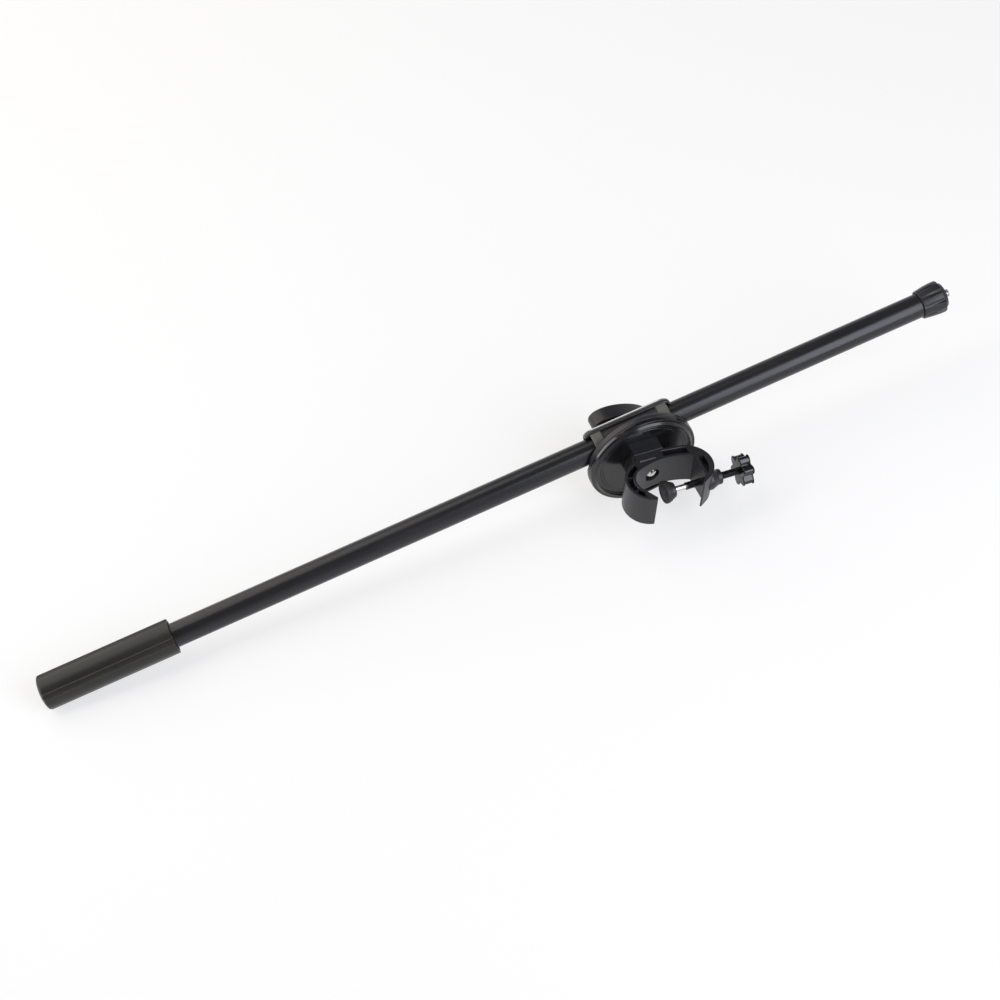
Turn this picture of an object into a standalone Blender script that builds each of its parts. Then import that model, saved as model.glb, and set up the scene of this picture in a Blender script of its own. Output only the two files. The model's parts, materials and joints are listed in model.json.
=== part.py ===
"""Crossbar arm for a light stand.

A straight tube with a long grip at one end and a stud with a ribbed collar at the other. The tube
slides and rolls in a lined saddle. The saddle's disc swivels against the disc of a C clamp, which
a pad on a screw closes on the upright of a stand, and one bolt and knob squeeze it all together.

Lengths are in metres. X runs along the arm towards the stud, Y away from the C clamp, Z up. Places
are measured from the clutch axis, where the two discs turn, until the last step moves the whole
arm so that the middle of its base is the origin.
"""

import math

import bmesh
import bpy
from mathutils import Vector

# Gap left between pieces that touch, and the clearance of a piece that turns or slides
TOUCH = 0.0003
RUNNING = 0.0004
OVERLAP = 0.0002

# Tube
TUBE_R = 0.0095
TUBE_WALL = 0.0008
TUBE_PLUG_LENGTH = 0.012

# Grip at the left end: four broad panels, and between them flutes with a ridge on each side
GRIP_REACH = 0.4811
GRIP_LENGTH = 0.1062
GRIP_WALL = 0.0035
GRIP_RIDGE_RISE = 0.0005
GRIP_FLUTE_SINK = 0.0005
GRIP_FLAT_SINK = 0.0006
GRIP_END_WALL = 0.0054
GRIP_DOME = 0.004
GRIP_MOUTH_GAP = 0.0021
GRIP_MOUTH_DEPTH = 0.004
GRIP_PANELS = 4
GRIP_FLUTE_CENTRE = math.radians(52.0)
GRIP_RIDGE_OFFSET = math.radians(9.0)
GRIP_RIDGE_HALF = math.radians(2.6)
GRIP_RIDGE_FLANK = math.radians(0.9)

# Ribbed collar with the stud at the right end. A rib's widths are shares of the ribs' pitch.
COLLAR_REACH = 0.2425
COLLAR_LENGTH = 0.0205
COLLAR_REAR_WALL = 0.0014
COLLAR_FLARE = 0.0015
COLLAR_VALLEY_WALL = 0.0015
COLLAR_RIBS = 10
COLLAR_RIB_TOP = 0.18
COLLAR_RIB_FOOT = 0.26
COLLAR_NOSE_STEP = 0.0020
COLLAR_NOSE_LENGTH = 0.0026
COLLAR_SKIRT = 0.007
STUD_R = 0.0031
STUD_CHAMFER = 0.0005
STUD_LENGTH = 0.0044
STUD_TAIL = 0.003
STUD_HEAD_R = 0.0062
STUD_HEAD_HEIGHT = 0.004
STUD_WASHER_GAP = 0.0019
STUD_WASHER_HEIGHT = 0.001
BUSH_LENGTH = 0.012
BUSH_FLANGE = 0.0015
LOCKNUT_R = 0.0058
LOCKNUT_HEIGHT = 0.004

# Clutch discs, with the friction ring between them and the block that the clamp is bolted to
CLUTCH_R = 0.0432
CLUTCH_EDGE = 0.0003
SADDLE_DISC_THICK = 0.0045
SADDLE_DISC_WALL = 0.0032
RING_INNER_R = 0.022
RING_MARGIN = 0.0072
RING_THICK = 0.0009
FRONT_DISC_RIM = 0.0030
FRONT_DISC_LIP = 0.0044
FRONT_DISC_WEB = 0.0022
FRONT_RIM_SLOPE = 0.0042
FRONT_LIP_WIDTH = 0.0010
BLOCK_HALF_WIDTH = 0.012
BLOCK_LENGTH = 0.0088

# Saddle, its lining and the shoe behind the tube
LINER_WALL = 0.0010
LINER_HALF = 0.030
SADDLE_HALF = 0.031
FLANGE_WIDTH = 0.008
FLANGE_WALL = 0.0025
PANEL_WALL = 0.0013
SADDLE_BOSS_WALL = 0.0048
SPLIT_BACK = 0.0040
SHOE_HALF = 0.035
SHOE_WALL = 0.0041
SHOE_END_WALL = 0.0008
SHOE_END_LENGTH = 0.008
SHOE_BOSS_WALL = 0.0043

# Main bolt with its plate, washer and knob
BOLT_R = 0.0029
BOLT_HEAD_LEDGE = 0.0019
BOLT_HEAD_HEIGHT = 0.0025
BOLT_TAIL = 0.026
PLATE_THICK = 0.0015
PLATE_DEPTH = 0.0055
PLATE_LEFT = -0.0100
PLATE_MARGIN = 0.0005
PLATE_TOP_DEPTH = 0.0006
PLATE_HEIGHT = 0.0264
HEAD_HOLE_GAP = 0.0012
LOCK_WASHER_R = 0.0095
LOCK_WASHER_HEIGHT = 0.0015
KNOB_HALF_LENGTH = 0.0276
KNOB_HALF_WIDTH = 0.0140
KNOB_BACK = 0.0295
KNOB_SHELL = 0.0024
KNOB_HUB_WALL = 0.0022
KNOB_EDGE = 0.0012
KNOB_TURN = math.radians(28.0)
KNOB_INSERT_WALL = 0.00185
KNOB_INSERT_LENGTH = 0.0100
INSERT_BORE_GAP = 0.00025

# C clamp, seen from above: x along the arm, and y from its own back face, towards the front negative
CLAMP_TURN = math.radians(8.06)
CLAMP_TOP = 0.01545
CLAMP_BOTTOM = -0.0137
HOOK_CENTRE = Vector((-0.0088, -0.0246))
HOOK_OUTER_R = 0.0198
HOOK_BORE_CENTRE = Vector((-0.0085, -0.0246))
HOOK_INNER_R = 0.0118
HOOK_TIP_ANGLE = math.radians(259.5)
HOOK_BACK_ANGLE = math.radians(101.0)
HOOK_BORE_START = math.radians(116.5)
HOOK_BORE_END = math.radians(221.0)
HOOK_TIP_INNER = Vector((-0.0115, -0.0421))
SHOULDER_CENTRE = Vector((0.0206, -0.0214))
SHOULDER_HALF_WIDTH = 0.0220
SHOULDER_HALF_DEPTH = 0.0200
SHOULDER_END = math.radians(-52.0)
ARM_INNER = 0.0312
ARM_TIP = Vector((0.0278, -0.0410))
ARM_TIP_WIDTH = 0.0009
ARM_TAPER_START = -0.0337
BACK_WALL_RIGHT = -0.0140
BACK_WALL_R = 0.0576
CLAMP_WALL = 0.0021
POCKET_DEPTH = 0.0065
POCKET_RIB = math.radians(3.0)
HOOK_POCKET_ANGLES = (math.radians(112.0), math.radians(155.0), math.radians(202.0))
TIP_POCKET_END = math.radians(236.0)
TIP_POCKET_INNER_END = math.radians(222.0)
BACK_POCKET_LEFT = 0.0092
BACK_POCKET_RIGHT = 0.0285
ARM_POCKET_BACK = -0.0168
ARM_POCKET_FRONT = -0.0328

# Jaw screw, its knob and its pad, measured along the screw from the clutch axis
SCREW_FRONT = 0.0286
BOSS_WALL = 0.0013
BOSS_FLARE = 0.0022
BOSS_END = 0.0478
BOSS_STRAIGHT = 0.0033
BOSS_CONE = 0.0050
JAW_INSERT_WALL = 0.00125
JAW_INSERT_LENGTH = 0.0120
SCREW_R = 0.0029
NECK_STEP = 0.00075
SCREW_NECK_END = 0.0187
PAD_FACE = 0.0006
PAD_R = 0.00875
PAD_THICK = 0.0049
PAD_FLOOR = 0.0012
HUB_FLANGE_LEDGE = 0.0008
HUB_FLANGE_END = 0.0072
HUB_LEDGE = 0.0015
HUB_END = 0.0093
HUB_SPIGOT_MARGIN = 0.0008
HUB_SPIGOT_START = 0.0036
CLIP_LEDGE = 0.00155
CLIP_THICK = 0.0008
CLIP_GROOVE_DEPTH = 0.00065
STAR_START = 0.0625
STAR_LENGTH = 0.0088
STAR_R = 0.0128
STAR_VALLEY_R = 0.0088
STAR_LOBES = 6
STAR_LOBE_POWER = 0.7
STAR_TURN = math.radians(-12.0)
STAR_SCREW_DEPTH = 0.006

# Facets round a full turn, by size of the piece
FINE = 60
ROUND = 40
SMALL = 24

# Turns that lay a piece's own Z along the arm, to the front or to the back
ALONG_ARM = (0.0, math.pi / 2, 0.0)
TO_FRONT = (math.pi / 2, 0.0, 0.0)
TO_BACK = (-math.pi / 2, 0.0, 0.0)

# Sizes that follow from the ones above
TUBE_BORE_R = TUBE_R - TUBE_WALL
GRIP_BORE_R = TUBE_R + TOUCH
GRIP_R = GRIP_BORE_R + GRIP_WALL
GRIP_RIDGE_R = GRIP_R + GRIP_RIDGE_RISE
GRIP_FLUTE_R = GRIP_R - GRIP_FLUTE_SINK
GRIP_FLAT = GRIP_R - GRIP_FLAT_SINK
GRIP_MOUTH_R = GRIP_BORE_R + GRIP_MOUTH_GAP
GRIP_ENVELOPE_R = GRIP_RIDGE_R + OVERLAP
COLLAR_BORE_R = TUBE_R + RUNNING
COLLAR_REAR_R = COLLAR_BORE_R + COLLAR_REAR_WALL
COLLAR_FRONT_R = COLLAR_REAR_R + COLLAR_FLARE
COLLAR_VALLEY_R = COLLAR_BORE_R + COLLAR_VALLEY_WALL
COLLAR_NOSE_R = COLLAR_FRONT_R - COLLAR_NOSE_STEP
STUD_WASHER_R = COLLAR_BORE_R - STUD_WASHER_GAP
LINER_INNER_R = TUBE_R + TOUCH
LINER_OUTER_R = LINER_INNER_R + LINER_WALL
SADDLE_BORE_R = LINER_OUTER_R + TOUCH
TUBE_RISE = LINER_OUTER_R + TOUCH + BOLT_R
FLANGE_R = SADDLE_BORE_R + FLANGE_WALL
PANEL_R = SADDLE_BORE_R + PANEL_WALL
SHOE_R = SADDLE_BORE_R + SHOE_WALL
SHOE_BACK = SADDLE_BORE_R + SHOE_BOSS_WALL
SHOE_BOSS_R = LOCK_WASHER_R + TOUCH
BOLT_HOLE_R = BOLT_R + TOUCH
BOLT_HEAD_R = BOLT_R + BOLT_HEAD_LEDGE
HEAD_HOLE_R = BOLT_HEAD_R + HEAD_HOLE_GAP
SADDLE_BOSS_R = BOLT_HOLE_R + SADDLE_BOSS_WALL
SADDLE_DISC_FRONT = SADDLE_BORE_R + SADDLE_DISC_WALL
SADDLE_DISC_BACK = SADDLE_DISC_FRONT - SADDLE_DISC_THICK
RING_OUTER_R = CLUTCH_R - RING_MARGIN
FRONT_LIP_R = CLUTCH_R - FRONT_RIM_SLOPE
FRONT_WELL_R = FRONT_LIP_R - FRONT_LIP_WIDTH
FRONT_DISC_BACK = SADDLE_DISC_FRONT + TOUCH
CLAMP_BACK = FRONT_DISC_BACK + BLOCK_LENGTH
BLOCK_FRONT = CLAMP_BACK - TOUCH
PLATE_RIGHT = BOLT_HOLE_R + PLATE_MARGIN
PLATE_FRONT = PLATE_DEPTH + PLATE_THICK
BOLT_HEAD_BACK = CLAMP_BACK + PLATE_FRONT + TOUCH
LOCK_WASHER_FRONT = SHOE_BACK + TOUCH
KNOB_FRONT = LOCK_WASHER_FRONT + LOCK_WASHER_HEIGHT + TOUCH
KNOB_INSERT_R = BOLT_R + INSERT_BORE_GAP + KNOB_INSERT_WALL
KNOB_HUB_R = KNOB_INSERT_R + TOUCH + KNOB_HUB_WALL
TUBE_LEFT = -(GRIP_REACH - GRIP_END_WALL - TOUCH)
TUBE_RIGHT = COLLAR_REACH + COLLAR_SKIRT
BUSH_RIGHT = TUBE_RIGHT + TOUCH + BUSH_FLANGE
STUD_WASHER_LEFT = BUSH_RIGHT + TOUCH
STUD_HEAD_LEFT = STUD_WASHER_LEFT + STUD_WASHER_HEIGHT + TOUCH
STUD_HEAD_RIGHT = STUD_HEAD_LEFT + STUD_HEAD_HEIGHT
COLLAR_NOSE = COLLAR_REACH + COLLAR_LENGTH
LOCKNUT_RIGHT = TUBE_RIGHT - BUSH_LENGTH - TOUCH
JAW_INSERT_R = SCREW_R + INSERT_BORE_GAP + JAW_INSERT_WALL
BOSS_R = JAW_INSERT_R + TOUCH + BOSS_WALL
BOSS_ROOT_R = BOSS_R + BOSS_FLARE
SCREW_NECK_R = SCREW_R - NECK_STEP
CLIP_GROOVE_R = SCREW_NECK_R - CLIP_GROOVE_DEPTH
CLIP_R = SCREW_NECK_R + CLIP_LEDGE
CLIP_START = HUB_SPIGOT_START - TOUCH - CLIP_THICK
HUB_SPIGOT_R = CLIP_R + HUB_SPIGOT_MARGIN
HUB_R = HUB_SPIGOT_R + HUB_LEDGE
HUB_FLANGE_R = HUB_R + HUB_FLANGE_LEDGE


def dome_depth(radius):
    """How far the grip's domed end has fallen back at a radius."""
    return GRIP_DOME * (1 - math.sqrt(max(0.0, 1 - (radius / GRIP_ENVELOPE_R) ** 2)))


def rest_tilt():
    """Angle of the arm when the grip's flat and the rims of the discs lie on one floor."""
    reach = GRIP_REACH - dome_depth(GRIP_FLAT)
    rise = TUBE_RISE - GRIP_FLAT
    return math.asin(CLUTCH_R / math.hypot(reach, rise)) + math.atan2(rise, reach)


# Scene, collections and frames

def clear_scene():
    for item in list(bpy.data.objects):
        bpy.data.objects.remove(item, do_unlink=True)


def new_collection(name, parent):
    collection = bpy.data.collections.new(name)
    parent.children.link(collection)
    return collection


def new_frame(name, parent, location=(0.0, 0.0, 0.0), rotation=(0.0, 0.0, 0.0)):
    frame = bpy.data.objects.new(name, None)
    PARTS.objects.link(frame)
    frame.parent = parent
    frame.location = location
    frame.rotation_euler = rotation
    return frame


def place(item, parent, location, rotation, collection):
    collection.objects.link(item)
    item.parent = parent
    item.location = location
    item.rotation_euler = rotation
    if collection is CUTTERS:
        item.hide_render = True
        item.display_type = "WIRE"
    return item


def new_material(name, colour, roughness, metallic=0.0):
    material = bpy.data.materials.new(name)
    material.use_nodes = True
    shader = material.node_tree.nodes["Principled BSDF"]
    shader.inputs["Base Color"].default_value = (*colour, 1.0)
    shader.inputs["Roughness"].default_value = roughness
    shader.inputs["Metallic"].default_value = metallic
    material.diffuse_color = (*colour, 1.0)
    return material


def dress(item, colour, roughness, metallic=0.0):
    item.data.materials.append(new_material(item.name, colour, roughness, metallic))
    return item


# Shapes

def turned(name, profile, facets, parent, rotation, location=(0.0, 0.0, 0.0), ring=False, cutter=False):
    """Solid turned about its own Z. The profile's (radius, height) pairs run down the outside."""
    bm = bmesh.new()
    corners = [bm.verts.new((radius, 0.0, height)) for radius, height in profile]
    for first, second in zip(corners, corners[1:]):
        bm.edges.new((first, second))
    if ring:
        bm.edges.new((corners[-1], corners[0]))
    mesh = bpy.data.meshes.new(name)
    bm.to_mesh(mesh)
    bm.free()
    item = bpy.data.objects.new(name, mesh)
    place(item, parent, location, rotation, CUTTERS if cutter else PARTS)
    screw = item.modifiers.new("turn", "SCREW")
    screw.steps = facets
    screw.render_steps = facets
    screw.use_merge_vertices = True
    screw.merge_threshold = 0.00001
    screw.use_smooth_shade = True
    return item


def rod_profile(radius, top, bottom):
    return [(0.0, top), (radius, top), (radius, bottom), (0.0, bottom)]


def ring_profile(outer, inner, top, bottom):
    return [(outer, top), (outer, bottom), (inner, bottom), (inner, top)]


def rod(name, radius, top, bottom, facets, parent, rotation, location=(0.0, 0.0, 0.0), cutter=False):
    profile = rod_profile(radius, top, bottom)
    return turned(name, profile, facets, parent, rotation, location, cutter=cutter)


def plate(name, points, low, high, parent, rotation, location=(0.0, 0.0, 0.0), cutter=False):
    """Flat outline, thickened from the height low to the height high of its own Z."""
    curve = bpy.data.curves.new(name, "CURVE")
    curve.dimensions = "2D"
    curve.fill_mode = "BOTH"
    curve.extrude = (high - low) / 2
    spline = curve.splines.new("POLY")
    spline.points.add(len(points) - 1)
    for point, (x, y) in zip(spline.points, points):
        point.co = (x, y, 0.0, 1.0)
    spline.use_cyclic_u = True
    outline = bpy.data.objects.new(name + "_outline", curve)
    bpy.context.scene.collection.objects.link(outline)
    graph = bpy.context.evaluated_depsgraph_get()
    mesh = bpy.data.meshes.new_from_object(outline.evaluated_get(graph))
    bpy.data.objects.remove(outline, do_unlink=True)
    bm = bmesh.new()
    bm.from_mesh(mesh)
    bmesh.ops.remove_doubles(bm, verts=bm.verts, dist=0.000001)
    bmesh.ops.translate(bm, verts=bm.verts, vec=(0.0, 0.0, (low + high) / 2))
    bmesh.ops.recalc_face_normals(bm, faces=bm.faces)
    bm.to_mesh(mesh)
    bm.free()
    mesh.name = name
    item = bpy.data.objects.new(name, mesh)
    return place(item, parent, location, rotation, CUTTERS if cutter else PARTS)


def box(name, low, high, parent, cutter=False):
    """Box between two opposite corners."""
    bm = bmesh.new()
    bmesh.ops.create_cube(bm, size=1.0)
    size = Vector(high) - Vector(low)
    bmesh.ops.scale(bm, verts=bm.verts, vec=size)
    bmesh.ops.translate(bm, verts=bm.verts, vec=(Vector(high) + Vector(low)) / 2)
    mesh = bpy.data.meshes.new(name)
    bm.to_mesh(mesh)
    bm.free()
    item = bpy.data.objects.new(name, mesh)
    return place(item, parent, (0.0, 0.0, 0.0), (0.0, 0.0, 0.0), CUTTERS if cutter else PARTS)


def combine(item, others, operation):
    """Cut, join or trim a piece by a group of guides, all in one step."""
    group = new_collection(item.name + "_" + operation.lower(), CUTTERS)
    for other in others:
        CUTTERS.objects.unlink(other)
        group.objects.link(other)
    boolean = item.modifiers.new(operation.lower(), "BOOLEAN")
    boolean.operation = operation
    boolean.operand_type = "COLLECTION"
    boolean.collection = group
    boolean.solver = "EXACT"
    return item


def cut(item, *cutters):
    return combine(item, cutters, "DIFFERENCE")


def join(item, *others):
    return combine(item, others, "UNION")


def trim(item, *others):
    return combine(item, others, "INTERSECT")


def arc(centre, radius, start, end, steps):
    """Points of an arc, both ends included."""
    angles = [start + (end - start) * step / steps for step in range(steps + 1)]
    return [(centre[0] + radius * math.cos(a), centre[1] + radius * math.sin(a)) for a in angles]


def ellipse(half_length, half_width, steps):
    angles = [math.tau * step / steps for step in range(steps)]
    return [(half_length * math.cos(a), half_width * math.sin(a)) for a in angles]


def polygon(radius, sides):
    return arc((0.0, 0.0), radius, 0.0, math.tau * (sides - 1) / sides, sides - 1)


# Tube with its grip

def make_tube():
    profile = ring_profile(TUBE_R, TUBE_BORE_R, TUBE_RIGHT, TUBE_LEFT)
    tube = turned("boom_tube", profile, ROUND, BOOM_AXIS, ALONG_ARM, ring=True)
    return dress(tube, (0.018, 0.018, 0.020), 0.38, 0.6)


def make_tube_plug():
    radius = TUBE_BORE_R - TOUCH
    plug = rod("tube_plug", radius, TUBE_LEFT + TUBE_PLUG_LENGTH, TUBE_LEFT, SMALL, BOOM_AXIS, ALONG_ARM)
    return dress(plug, (0.03, 0.03, 0.03), 0.7)


def grip_radius(angle):
    """Radius of the grip's outline at an angle from the top, turning to the front."""
    pitch = math.tau / GRIP_PANELS
    offset = abs((angle - GRIP_FLUTE_CENTRE + pitch / 2) % pitch - pitch / 2)
    if abs(offset - GRIP_RIDGE_OFFSET) <= GRIP_RIDGE_HALF:
        return GRIP_RIDGE_R
    return GRIP_FLUTE_R if offset < GRIP_RIDGE_OFFSET else GRIP_R


def grip_outline():
    """Outline of the grip: ridges, flutes and panels, with the bottom panel cut flat."""
    angles = []
    flank = GRIP_RIDGE_FLANK
    for panel in range(GRIP_PANELS):
        centre = GRIP_FLUTE_CENTRE + math.tau * panel / GRIP_PANELS
        for side in (-1, 1):
            ridge = centre + side * GRIP_RIDGE_OFFSET
            for edge in (-1, 1):
                corner = ridge + edge * GRIP_RIDGE_HALF
                angles += [corner - edge * flank / 10, corner + edge * flank]
        margin = GRIP_RIDGE_OFFSET + GRIP_RIDGE_HALF + 2 * flank
        panel_start = centre + margin
        panel_end = centre + math.tau / GRIP_PANELS - margin
        steps = 7
        angles += [panel_start + (panel_end - panel_start) * step / steps for step in range(steps + 1)]
    points = []
    for angle in sorted(a % math.tau for a in angles):
        radius = grip_radius(angle)
        points.append((-radius * math.cos(angle), -radius * math.sin(angle)))
    return points


def make_grip():
    left = -GRIP_REACH
    right = left + GRIP_LENGTH
    grip = plate("handle_grip", grip_outline(), left - OVERLAP, right + OVERLAP, BOOM_AXIS, ALONG_ARM)
    steps = 6
    radii = [GRIP_ENVELOPE_R * math.cos(math.pi / 2 * step / steps) for step in range(steps)]
    dome = [(radius, left + dome_depth(radius)) for radius in radii]
    profile = [(0.0, right), (GRIP_ENVELOPE_R, right), *dome, (0.0, left)]
    trim(grip, turned("grip_envelope", profile, FINE, BOOM_AXIS, ALONG_ARM, cutter=True))
    floor = (GRIP_FLAT, -2 * GRIP_RIDGE_R, left - OVERLAP)
    edge = (2 * GRIP_RIDGE_R, 2 * GRIP_RIDGE_R, right + OVERLAP)
    flat = box("grip_flat", floor, edge, BOOM_AXIS, cutter=True)
    flat.rotation_euler = ALONG_ARM
    bore = [
        (0.0, right + OVERLAP),
        (GRIP_MOUTH_R, right + OVERLAP),
        (GRIP_MOUTH_R, right - GRIP_MOUTH_DEPTH),
        (GRIP_BORE_R, right - GRIP_MOUTH_DEPTH),
        (GRIP_BORE_R, left + GRIP_END_WALL),
        (0.0, left + GRIP_END_WALL),
    ]
    cut(grip, flat, turned("grip_bore", bore, ROUND, BOOM_AXIS, ALONG_ARM, cutter=True))
    return dress(grip, (0.030, 0.030, 0.028), 0.62)


# Collar and stud at the other end

def make_end_bush():
    profile = [
        (TUBE_R, BUSH_RIGHT),
        (TUBE_R, TUBE_RIGHT + TOUCH),
        (TUBE_BORE_R - TOUCH, TUBE_RIGHT + TOUCH),
        (TUBE_BORE_R - TOUCH, TUBE_RIGHT - BUSH_LENGTH),
        (STUD_R + RUNNING, TUBE_RIGHT - BUSH_LENGTH),
        (STUD_R + RUNNING, BUSH_RIGHT),
    ]
    bush = turned("end_bush", profile, SMALL, BOOM_AXIS, ALONG_ARM, ring=True)
    return dress(bush, (0.04, 0.04, 0.04), 0.6)


def make_stud():
    left = LOCKNUT_RIGHT - LOCKNUT_HEIGHT - STUD_TAIL
    right = COLLAR_NOSE + STUD_LENGTH
    profile = [
        (0.0, right),
        (STUD_R - STUD_CHAMFER, right),
        (STUD_R, right - STUD_CHAMFER),
        (STUD_R, left),
        (0.0, left),
    ]
    stud = turned("stud_bolt", profile, SMALL, BOOM_AXIS, ALONG_ARM)
    head = plate("stud_head", polygon(STUD_HEAD_R, 6), STUD_HEAD_LEFT, STUD_HEAD_RIGHT,
                 BOOM_AXIS, ALONG_ARM, cutter=True)
    join(stud, head)
    return dress(stud, (0.05, 0.05, 0.055), 0.35, 0.9)


def make_stud_washer():
    top = STUD_WASHER_LEFT + STUD_WASHER_HEIGHT
    profile = ring_profile(STUD_WASHER_R, STUD_R + TOUCH, top, STUD_WASHER_LEFT)
    washer = turned("stud_washer", profile, SMALL, BOOM_AXIS, ALONG_ARM, ring=True)
    return dress(washer, (0.55, 0.55, 0.55), 0.3, 1.0)


def make_locknut():
    nut = plate("stud_locknut", polygon(LOCKNUT_R, 6), LOCKNUT_RIGHT - LOCKNUT_HEIGHT, LOCKNUT_RIGHT,
                BOOM_AXIS, ALONG_ARM)
    hole = rod("locknut_bore", STUD_R + TOUCH, LOCKNUT_RIGHT + OVERLAP,
               LOCKNUT_RIGHT - LOCKNUT_HEIGHT - OVERLAP, SMALL, BOOM_AXIS, ALONG_ARM, cutter=True)
    cut(nut, hole)
    return dress(nut, (0.55, 0.55, 0.55), 0.3, 1.0)


def collar_outline():
    """Ribs and valleys round the collar: square ribs with sloping flanks."""
    pitch = math.tau / COLLAR_RIBS
    top = COLLAR_FRONT_R + OVERLAP
    shape = (
        (-0.5, COLLAR_VALLEY_R),
        (-COLLAR_RIB_FOOT, COLLAR_VALLEY_R),
        (-COLLAR_RIB_TOP, top),
        (0.0, top + OVERLAP),
        (COLLAR_RIB_TOP, top),
        (COLLAR_RIB_FOOT, COLLAR_VALLEY_R),
    )
    points = []
    for rib in range(COLLAR_RIBS):
        for share, radius in shape:
            angle = (rib + share) * pitch
            points.append((radius * math.cos(angle), radius * math.sin(angle)))
    return points


def make_collar():
    rear = COLLAR_REACH
    nose = COLLAR_NOSE
    shoulder = nose - COLLAR_NOSE_LENGTH
    flare = COLLAR_FLARE
    collar = plate("thumb_collar", collar_outline(), rear - OVERLAP, nose + OVERLAP, BOOM_AXIS, ALONG_ARM)
    profile = [
        (0.0, nose),
        (COLLAR_NOSE_R - flare, nose),
        (COLLAR_NOSE_R, shoulder),
        (COLLAR_FRONT_R - flare / 2, shoulder),
        (COLLAR_FRONT_R, shoulder - flare),
        (COLLAR_REAR_R + flare / 2, rear + flare * 4),
        (COLLAR_REAR_R, rear + flare),
        (COLLAR_REAR_R - flare / 3, rear),
        (0.0, rear),
    ]
    trim(collar, turned("collar_envelope", profile, FINE, BOOM_AXIS, ALONG_ARM, cutter=True))
    skirt_end = STUD_HEAD_LEFT - TOUCH
    skirt = rod("collar_skirt", COLLAR_BORE_R, skirt_end, rear - OVERLAP, ROUND,
                BOOM_AXIS, ALONG_ARM, cutter=True)
    pocket = plate("collar_pocket", polygon(STUD_HEAD_R + RUNNING, 6), skirt_end - OVERLAP,
                   STUD_HEAD_RIGHT + TOUCH, BOOM_AXIS, ALONG_ARM, cutter=True)
    hole = rod("collar_bore", STUD_R + TOUCH, nose + OVERLAP, STUD_HEAD_RIGHT, SMALL,
               BOOM_AXIS, ALONG_ARM, cutter=True)
    cut(collar, skirt, pocket, hole)
    return dress(collar, (0.020, 0.020, 0.021), 0.45)


# Saddle, lining, shoe and friction ring

def make_liner():
    profile = ring_profile(LINER_OUTER_R, LINER_INNER_R, LINER_HALF, -LINER_HALF)
    liner = turned("tube_liner", profile, ROUND, BOOM_AXIS, ALONG_ARM, ring=True)
    return dress(liner, (0.025, 0.025, 0.025), 0.85)


def saddle_bore(name, half_length):
    return rod(name, SADDLE_BORE_R, half_length, -half_length, ROUND, BOOM_AXIS, ALONG_ARM, cutter=True)


def make_saddle():
    front = SADDLE_DISC_FRONT
    back = SADDLE_DISC_BACK
    profile = [
        (0.0, front),
        (CLUTCH_R - CLUTCH_EDGE, front),
        (CLUTCH_R, front - CLUTCH_EDGE),
        (CLUTCH_R, back + CLUTCH_EDGE),
        (CLUTCH_R - CLUTCH_EDGE, back),
        (0.0, back),
    ]
    saddle = turned("saddle", profile, FINE, BOOM_FRAME, TO_FRONT)
    flange = SADDLE_HALF - FLANGE_WIDTH
    arch = [
        (0.0, SADDLE_HALF),
        (FLANGE_R, SADDLE_HALF),
        (FLANGE_R, flange),
        (PANEL_R, flange - (FLANGE_R - PANEL_R)),
        (PANEL_R, -flange + (FLANGE_R - PANEL_R)),
        (FLANGE_R, -flange),
        (FLANGE_R, -SADDLE_HALF),
        (0.0, -SADDLE_HALF),
    ]
    body = turned("saddle_arch", arch, ROUND, BOOM_AXIS, ALONG_ARM, cutter=True)
    boss = rod("saddle_boss", SADDLE_BOSS_R, SPLIT_BACK + OVERLAP, -back - OVERLAP, SMALL,
               BOOM_FRAME, TO_BACK, cutter=True)
    join(saddle, body, boss)
    reach = 2 * CLUTCH_R
    behind = box("saddle_split", (-reach, SPLIT_BACK, -reach), (reach, reach, reach), BOOM_FRAME, cutter=True)
    bore = saddle_bore("saddle_bore", SADDLE_HALF + OVERLAP)
    hole = rod("saddle_bolt_hole", BOLT_HOLE_R, reach, -reach, SMALL, BOOM_FRAME, TO_BACK, cutter=True)
    recess_profile = ring_profile(RING_OUTER_R + TOUCH, RING_INNER_R - TOUCH, front + OVERLAP,
                                  front - RING_THICK - TOUCH)
    recess = turned("ring_recess", recess_profile, ROUND, BOOM_FRAME, TO_FRONT, ring=True, cutter=True)
    cut(saddle, behind, bore, hole, recess)
    return dress(saddle, (0.020, 0.020, 0.021), 0.48)


def make_shoe():
    end_r = SADDLE_BORE_R + SHOE_END_WALL
    steps = 5
    angles = [math.pi / 2 * step / steps for step in range(steps + 1)]
    end = [(end_r + (SHOE_R - end_r) * math.sin(a), SHOE_HALF - SHOE_END_LENGTH * (1 - math.cos(a)))
           for a in angles]
    other_end = [(radius, -height) for radius, height in reversed(end)]
    profile = [(0.0, SHOE_HALF), *end, *other_end, (0.0, -SHOE_HALF)]
    shoe = turned("rear_shoe", profile, ROUND, BOOM_AXIS, ALONG_ARM)
    join(shoe, rod("shoe_boss", SHOE_BOSS_R, SHOE_BACK, 0.0, ROUND, BOOM_FRAME, TO_BACK, cutter=True))
    reach = 2 * CLUTCH_R
    split = SPLIT_BACK + TOUCH
    front = box("shoe_split", (-reach, -reach, -reach), (reach, split, reach), BOOM_FRAME, cutter=True)
    bore = saddle_bore("shoe_bore", SHOE_HALF + OVERLAP)
    hole = rod("shoe_bolt_hole", BOLT_HOLE_R, reach, -reach, SMALL, BOOM_FRAME, TO_BACK, cutter=True)
    cut(shoe, front, bore, hole)
    return dress(shoe, (0.020, 0.020, 0.021), 0.48)


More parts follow.
